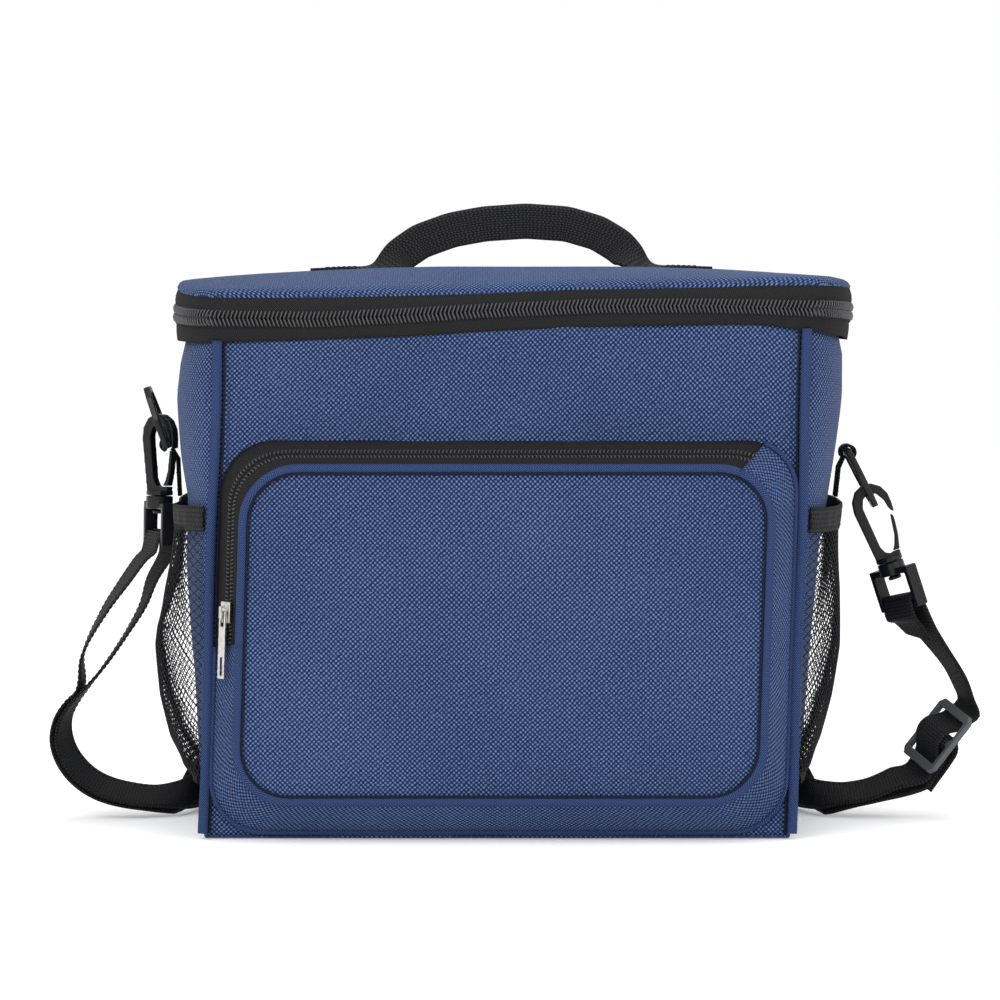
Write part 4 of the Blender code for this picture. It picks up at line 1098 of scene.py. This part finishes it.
def inflate(made, pinned, pressure):
    """Lets air pressure settle a sheet that is held at its first vertices, then keeps that shape."""
    held = made.vertex_groups.new(name="held")
    held.add(list(range(pinned * 2)), 1.0, "REPLACE")
    before_points = np.array([v.co for v in made.data.vertices])
    cloth = made.modifiers.new("cloth", "CLOTH")
    rules = cloth.settings
    rules.vertex_group_mass = "held"
    rules.quality = 6
    rules.mass = 0.2
    rules.tension_stiffness = rules.compression_stiffness = 12
    rules.bending_stiffness = 2.0
    rules.use_pressure = True
    rules.uniform_pressure_force = pressure
    rules.effector_weights.gravity = 0.0
    cloth.point_cache.frame_start = 1
    cloth.point_cache.frame_end = CLOTH_FRAMES
    scene = bpy.context.scene
    for number in range(1, CLOTH_FRAMES + 1):
        scene.frame_set(number)
    graph = bpy.context.evaluated_depsgraph_get()
    moved = made.evaluated_get(graph).to_mesh()
    after = np.array([v.co for v in moved.vertices])
    step = after - before_points
    size = np.linalg.norm(step, axis=1)
    step *= np.minimum(1.0, MOST_SWELL / np.maximum(size, 1e-9))[:, None]
    made.modifiers.clear()
    made.vertex_groups.clear()
    scene.frame_set(1)
    made.data.vertices.foreach_set("co", (before_points + step).ravel())
    made.data.update()


def pocket():
    zipped, rest = pocket_rows()
    full = (0.0, 0.08, 0.25, 0.5, 0.75, 0.92, 1.0)
    pocket_side("pocket_gusset", full, rest, NAVY, "body", "navy_oxford", 1.6 * MM)
    outer = (0.0, 0.17, 0.34, 0.498)
    inner = (0.502, 0.68, 0.86, 1.0)
    pocket_side("pocket_zip_outer_tape", outer, zipped, TAPE_BLACK, "body", "black_tape", 0.5 * MM)
    pocket_side("pocket_zip_inner_tape", inner, zipped, TAPE_BLACK, "pocket_flap", "black_tape", 0.5 * MM)
    for word, share, body in (("outer", 0.41, "body"), ("inner", 0.59, "pocket_flap")):
        path = resample(pocket_edge(share, -0.1 * MM)[zipped][::-1], 2.0 * MM)
        if word == "inner":
            path = (path[:-1] + path[1:]) / 2
        lean = (0.7 if word == "inner" else -0.7) * MM
        row = coil_row(f"pocket_{word}_teeth", path, (0.0, -1.0, 0.0), COIL_BLACK, 1.5 * MM, lean, 1.8 * MM,
                       0.42 * MM)
        done(row, body, "black_coil", f"pocket_zip_{word}_coil")
    front = pocket_edge(1.0, -0.4 * MM)
    front[:, 1] -= 1.0 * MM
    for word, rows, body, node in (("flap", zipped, "pocket_flap", "pocket_flap_piping"),
                                   ("front", rest, "body", "pocket_piping")):
        path = front[rows]
        cord = tube(f"pocket_{word}_cord", path, 2.3 * MM, NAVY_TRIM, 12, up=(0, 1, 0))
        done(cord, body, "navy_piping", node)
        # A thin dark tube inside the pocket's piping: painted shade in its groove.
        inner = pocket_edge(1.0, 2.3 * MM)[rows]
        inner[:, 1] -= 2.0 * MM
        done(tube(f"pocket_{word}_line", inner, 0.6 * MM, SEAM_SHADE, 6, up=(0, 1, 0)), body, "navy_piping")
    seam = pocket_edge(0.0, -0.9 * MM)[rest]
    seam[:, 1] -= 0.9 * MM
    done(tube("pocket_seam_cord", seam, 1.3 * MM, NAVY_TRIM, 10, up=(0, 1, 0)), "body", "navy_piping")
    pocket_face()


# ---------- side nets, bands and tabs

def net(word, side):
    """Knotted-mesh netting: diamonds of thread that stretch over the bulge."""
    levels = np.array(NET_LEVELS) * MM
    rows = 57
    columns = 67
    ys = np.linspace(-93 * MM, 93 * MM, columns)
    zs = np.linspace(levels[0, 0], levels[-1, 0] + 2 * MM, rows)
    points = []
    lookup = {}
    for i, z in enumerate(zs):
        lift = float(np.interp(z, levels[:, 0], levels[:, 1])) * NET_SLACK[word]
        for j, y in enumerate(ys):
            if (i + j) % 2:
                continue
            x, py, pz = bulged(side, float(y), float(z), lift)
            sway = 0.9 * MM * math.sin(y * 90 + z * 55) * min(lift / (10 * MM), 1.0)
            lookup[i, j] = len(points)
            points.append((x + side * (0.6 * MM + sway), py, pz + 0.8 * MM * math.sin(y * 60 + z * 30)))
    faces = []
    for i in range(rows):
        for j in range(columns):
            around = [(i, j), (i + 1, j + 1), (i + 2, j), (i + 1, j - 1)]
            if all(place in lookup for place in around):
                faces.append([lookup[place] for place in around])
    made = mesh_piece(f"net_{word}", points, faces, NETTING)
    frame_it = made.modifiers.new("threads", "WIREFRAME")
    frame_it.thickness = 0.62 * MM
    frame_it.use_even_offset = False
    frame_it.use_relative_offset = False
    settle(made)
    done(made, "body", "black_net", f"net_pocket_{word}")
    low = []
    for y in np.linspace(-86 * MM, 86 * MM, 70):
        x, py, pz = bulged(side, float(y), 29 * MM, 2.0 * MM)
        low.append((x + side * 0.6 * MM, py, pz))
    done(tube(f"net_hem_{word}", low, 1.5 * MM, TAPE_BLACK, 8, squash=1.7), "body", "black_tape")


def elastic(word, side):
    """The ribbed band round the net's mouth."""
    ys = np.linspace(-93.4 * MM, 93.4 * MM, 100)
    zs = np.linspace(BAND[0] - 0.4 * MM, BAND[1] + 0.4 * MM, 9)
    points = np.zeros((len(ys), len(zs), 3))
    for i, y in enumerate(ys):
        for k, z in enumerate(zs):
            x, _, _ = bulged(side, float(y), float(z), 2.4 * MM)
            ruck = 0.35 * MM * math.sin(y * 520) * math.sin(math.pi * k / 8)
            points[i, k] = (x + side * (0.7 * MM + ruck), y, z + 0.5 * MM * math.sin(y * 34 + side))
    made = cloth_grid(f"elastic_{word}_band", points, ELASTIC, None, 1.3 * MM)
    done(made, "body", "black_elastic", f"elastic_{word}")
    for k, level in ((1, "low"), (7, "high")):
        row = stitches(f"elastic_{word}_{level}_stitches", points[:, k], (side, 0, 0), THREAD_BLACK, 2.6 * MM,
                       lift=0.8 * MM, radius=0.25 * MM)
        done(row, "body", "black_elastic")


def ring_tab(word, side):
    (x, z), low, (y_low, y_high) = TABS[word]
    mean = 2.9 * MM + WEB / 2
    line = []
    for i in range(25):
        turn = math.radians(250 - 300 * i / 24)
        if side > 0:
            turn = math.pi - turn
        line.append((x + mean * math.cos(turn), z + mean * math.sin(turn)))
    for height in np.linspace(z - 8 * MM, low, 12):
        wall = side_point(side, 0.0, 1.0, height, 0.0)[0]
        line.append((wall + side * 2.3 * MM, height))
    ys = np.linspace(y_low, y_high, 9)
    points = np.array([[(px, y, pz) for y in ys] for px, pz in line])
    made = cloth_grid(f"ring_tab_{word}_loop", points, WEBBING, None, 1.5 * MM)
    done(made, "body", "black_webbing", f"ring_tab_{word}")
    for row in (29, 34):
        made = stitches(f"ring_tab_{word}_stitches_{row}", points[row], (side, 0, 0), THREAD_BLACK, 2.4 * MM,
                        lift=0.9 * MM)
        done(made, "body", "black_webbing")


# ---------- moulded and metal parts

def cad_copy(node, name, finish):
    """A new piece with the CAD node's welded mesh, and that mesh open for editing."""
    made = add_object(name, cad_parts[node].data.copy())
    made.data.materials.clear()
    made.data.materials.append(finish)
    bm = bmesh.new()
    bm.from_mesh(made.data)
    bmesh.ops.remove_doubles(bm, verts=bm.verts, dist=1e-6)
    return made, bm


def hard(node, body, slot, finish, voxel, rounds=5):
    """The CAD node's solid with its edges rounded over."""
    made, bm = cad_copy(node, f"{node}_shape", finish)
    bm.to_mesh(made.data)
    bm.free()
    remesh = made.modifiers.new("solid", "REMESH")
    remesh.mode = "VOXEL"
    remesh.voxel_size = voxel * MM
    remesh.use_smooth_shade = True
    relax = made.modifiers.new("soft edges", "SMOOTH")
    relax.factor = 0.5
    relax.iterations = rounds
    settle(made)
    made.data.shade_smooth()
    done(made, body, slot, node)


def fittings():
    for word in ("left", "right"):
        hard(f"ring_{word}", f"ring_{word}", "black_acetal", PLASTIC, 0.45)
        hard(f"yoke_{word}", "body", "black_acetal", PLASTIC, 0.45)
        hard(f"hook_{word}", f"hook_{word}", "black_acetal", PLASTIC, 0.45)
        hard(f"hook_gate_{word}", f"gate_{word}", "black_acetal", PLASTIC, 0.4)
    hard("tri_glide", "body", "black_acetal", PLASTIC_GREY, 0.45)
    for word in ("lid", "pocket"):
        hard(f"{word}_slider", f"{word}_slider", "nickel_zinc", METAL, 0.26, 4)
        hard(f"{word}_pull", f"{word}_pull", "nickel_zinc", METAL, 0.26, 4)


# ---------- the shoulder strap

# Round each yoke's bar (out, up), and through the glide (along, out), in mm.
RIGHT_TURN = ((-4.4, -8), (-4.2, -2), (-3, 3), (0, 4.3), (3, 3), (4.2, -2))
LEFT_TURN = ((4.4, -8), (4.2, -2), (3, 3), (0.4, 4.3))
LEFT_RETURN = ((-2.2, 3.6), (-4.2, -1.6), (-5.4, -7))
THROUGH = ((-22, -4.6), (-16.5, -3.5), (-11.6, -2), (-8, 1), (-4.6, 4.4), (0, 5.6), (4.6, 4.4), (8, 1),
           (11.6, -2), (16.5, -3.5), (23, -3.6))
LOOPED = ((26, -6.8), (18, -6.4), (10, -5.4), (5.8, -3), (3.9, -0.4), (2.6, 2.4), (0, 3.1), (-2.6, 2.4),
          (-3.9, -0.4), (-3, -4.4), (1, -8), (9, -9.2), (18, -9.6), (26, -10))


def strap_routes():
    long_run = [*RIGHT_TAIL, *(by_yoke("right", *pair) for pair in RIGHT_TURN), *RIGHT_FALL]
    long_run += [by_glide(*pair) for pair in THROUGH]
    under = [(*place, *wide) for place, wide in smooth_route(UNDER)]
    long_run += [*under, *LEFT_RISE, *(by_yoke("left", *pair) for pair in LEFT_TURN)]
    back = [*(by_yoke("left", *pair) for pair in LEFT_RETURN), *LEFT_FALL]
    back += [*beside(under[2:], STRAND_GAP)[::-1], *(by_glide(*pair) for pair in LOOPED)]
    return long_run, back


def ribbon(name, points, node):
    """Webbing with rounded edges along a route."""
    route = smooth_route(points, 2.6)
    path = np.array([tuple(place) for place, _ in route]) * MM
    wides = relaxed(np.array([tuple(wide) for _, wide in route]), 2)
    outs = relaxed(np.array([tuple(out) for out in normals_of(route)]), 2)
    half = WEB_WIDE / 2
    thick = WEB / 2
    profile = np.array([(v * half, face * thick * (1 - abs(v) ** 8 * 0.5))
                        for face in (1, -1) for v in face * np.linspace(-1, 1, 11)])
    rings = path[:, None] + wides[:, None] * profile[None, :, :1] + outs[:, None] * profile[None, :, 1:]
    along = lengths(path)
    uvs = np.stack(np.meshgrid(along, profile[:, 0], indexing="ij"), -1)
    made = mesh_piece(name, rings, tube_faces(len(path), len(profile)), WEBBING, uvs)
    done(made, "body", "black_webbing", node)
    edges = []
    for side in (-1, 1):
        for face in (-1, 1):
            line = path + wides * side * (half - 2.2 * MM) + outs * face * thick
            word = ("n" if side < 0 else "p") + ("n" if face < 0 else "p")
            edges.append(stitches(f"{name}_stitches_{word}", line, outs * face, THREAD_BLACK, 3.0 * MM,
                                  lift=0.1 * MM, radius=0.24 * MM))
    for row in edges:
        done(row, "body", "black_webbing")


def strap():
    long_run, back = strap_routes()
    ribbon("shoulder_strap_long", long_run, "strap_long_run")
    ribbon("shoulder_strap_return", back, "strap_return_run")


# ---------- inside the bag

def tuck(bm, in_lid):
    """Keeps an inner layer inside the cloth, which is rounder at the front and pinched at the sides."""
    for vert in bm.verts:
        x, y, z = vert.co
        side = 1 if x > LEAN * z else -1
        beyond = abs(x - LEAN * z) - SEAM_HALF
        if in_lid:
            centre = LEAN * LID_EDGE
            x = centre + (x - centre) * 0.975
            y *= 0.96
            z = min(z, dome(x, y) + float(sag(x, y, TAPE_HEAD)) - 3.0 * MM)
        if beyond > -6 * MM:
            near = max(abs(y) - DEPTH / 2 + FRONT_CORNER, 0) / FRONT_CORNER if y < 0 else 0.0
            share = math.sqrt(max(1 - near * near, 0))
            old = math.sqrt(max(1 - (max(abs(y) - 69 * MM, 0) / CORNER_DEPTH) ** 2, 0.0025))
            pinch = float(np.interp(z / MM, *(RIGHT_PINCH if side > 0 else LEFT_PINCH))) * MM
            x -= side * (max(beyond, 0) * (1 - min(share / old, 1)) + (pinch + 1.4 * MM) * share)
        vert.co = (x, y, z)


def soft_copy(node, body, slot, finish, size, name=None, cuts=2):
    """A padded or film layer: the node's solid made finer, with uneven swelling."""
    made, bm = cad_copy(node, name or f"{node}_layer", finish)
    bmesh.ops.recalc_face_normals(bm, faces=bm.faces)
    for _ in range(cuts):
        long_edges = [edge for edge in bm.edges if edge.calc_length() > 16 * MM]
        bmesh.ops.subdivide_edges(bm, edges=long_edges, cuts=1, use_grid_fill=True)
    bmesh.ops.triangulate(bm, faces=bm.faces)
    bm.normal_update()
    tuck(bm, node.startswith("lid"))
    places = np.array([v.co for v in bm.verts])
    swell = ripples(places[:, 0] + places[:, 1] * 0.7, places[:, 2] + places[:, 1] * 0.4, 43, size)
    for vert, value in zip(bm.verts, swell):
        vert.co += vert.normal * float(min(value, 0.0))
    bm.to_mesh(made.data)
    bm.free()
    made.data.shade_flat()
    return done(made, body, slot, node)


def inside():
    soft_copy("liner", "body", "silver_lining", SILVER, 0.5 * MM, "liner_film", 3)
    soft_copy("lid_liner", "lid", "silver_lining", SILVER, 0.3 * MM, "lid_liner_film", 3)
    for node in ("foam_front", "foam_back", "foam_left", "foam_right", "foam_base"):
        soft_copy(node, "body", "foam", FOAM_WHITE, 0.3 * MM)
    soft_copy("lid_foam", "lid", "foam", FOAM_WHITE, 0.3 * MM)
    low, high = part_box("lid_hinge_strip")
    zs = np.linspace(low[2] - 6 * MM, 283.6 * MM, 14)
    y = (low[1] + high[1]) / 2
    line = resample([(px, py, 0.0) for px, py in rim_line(-0.8 * MM) if py > ZIP_END - 3 * MM], 5 * MM)
    line = sorted(line.tolist())
    points = np.array([[(px + LEAN * z, py, z) for z in zs] for px, py, _ in line])
    made = cloth_grid("hinge_tape", points, NAVY_TRIM, None, 1.2 * MM)
    done_blended(made, ("body", "lid"), (0, y, HINGE_HEIGHT - 4 * MM), (0, y, HINGE_HEIGHT + 4 * MM),
                 "navy_piping", "lid_hinge_strip")


# ---------- the studio

FLOOR_HALF = 6.0
CAMERA_AT = (0.0015, -2.4927, 0.2787)
CAMERA_AIM = (0.0015, -0.095, 0.174)
FLOOR_LEVEL = -0.5 * MM


def aimed(made, place, aim):
    made.location = place
    made.rotation_euler = (Vector(aim) - Vector(place)).to_track_quat("-Z", "Y").to_euler()
    return made


def area_light(name, place, aim, size, power):
    light = bpy.data.lights.new(name, "AREA")
    light.shape = "RECTANGLE"
    light.size, light.size_y = size
    light.energy = power
    aimed(add_object(name, light), place, aim)


def studio():
    paper = Nodes("studio floor")
    paper.shader.inputs["Emission Color"].default_value = (1.0, 1.0, 1.0, 1)
    paper.shader.inputs["Emission Strength"].default_value = 0.22
    white = paper.finish((0.88, 0.88, 0.88, 1), 0.9, specular=0.05)
    corners = [(x * FLOOR_HALF, y * FLOOR_HALF, FLOOR_LEVEL) for x, y in ((-1, -1), (1, -1), (1, 1), (-1, 1))]
    floor = mesh_piece("floor", corners, [(0, 1, 2, 3)], white, smooth=False)
    world = bpy.data.worlds.new("studio")
    world.use_nodes = True
    colour, strength = world.node_tree.nodes["Background"].inputs[:2]
    colour.default_value = (1.0, 1.0, 1.0, 1)
    strength.default_value = 1.0
    bpy.context.scene.world = world
    area_light("key", (-0.9, -1.6, 1.5), (0, 0, 0.16), (1.0, 0.9), 15)
    area_light("fill", (1.5, -1.5, 0.8), (0, 0, 0.16), (1.0, 1.0), 6)
    area_light("top", (0.1, 0.1, 1.9), (0, 0, 0.2), (1.2, 0.8), 10)
    data = bpy.data.cameras.new("camera")
    data.lens = 168.5
    data.sensor_width = 36
    data.clip_end = 40
    bpy.context.scene.camera = aimed(add_object("camera", data), CAMERA_AT, CAMERA_AIM)
    bpy.context.scene.view_settings.view_transform = "Standard"


walls()
seams()
zip_and_lid()
handle()
pocket()
for word, side in (("left", -1), ("right", 1)):
    net(word, side)
    elastic(word, side)
    ring_tab(word, side)
fittings()
strap()
inside()
studio()
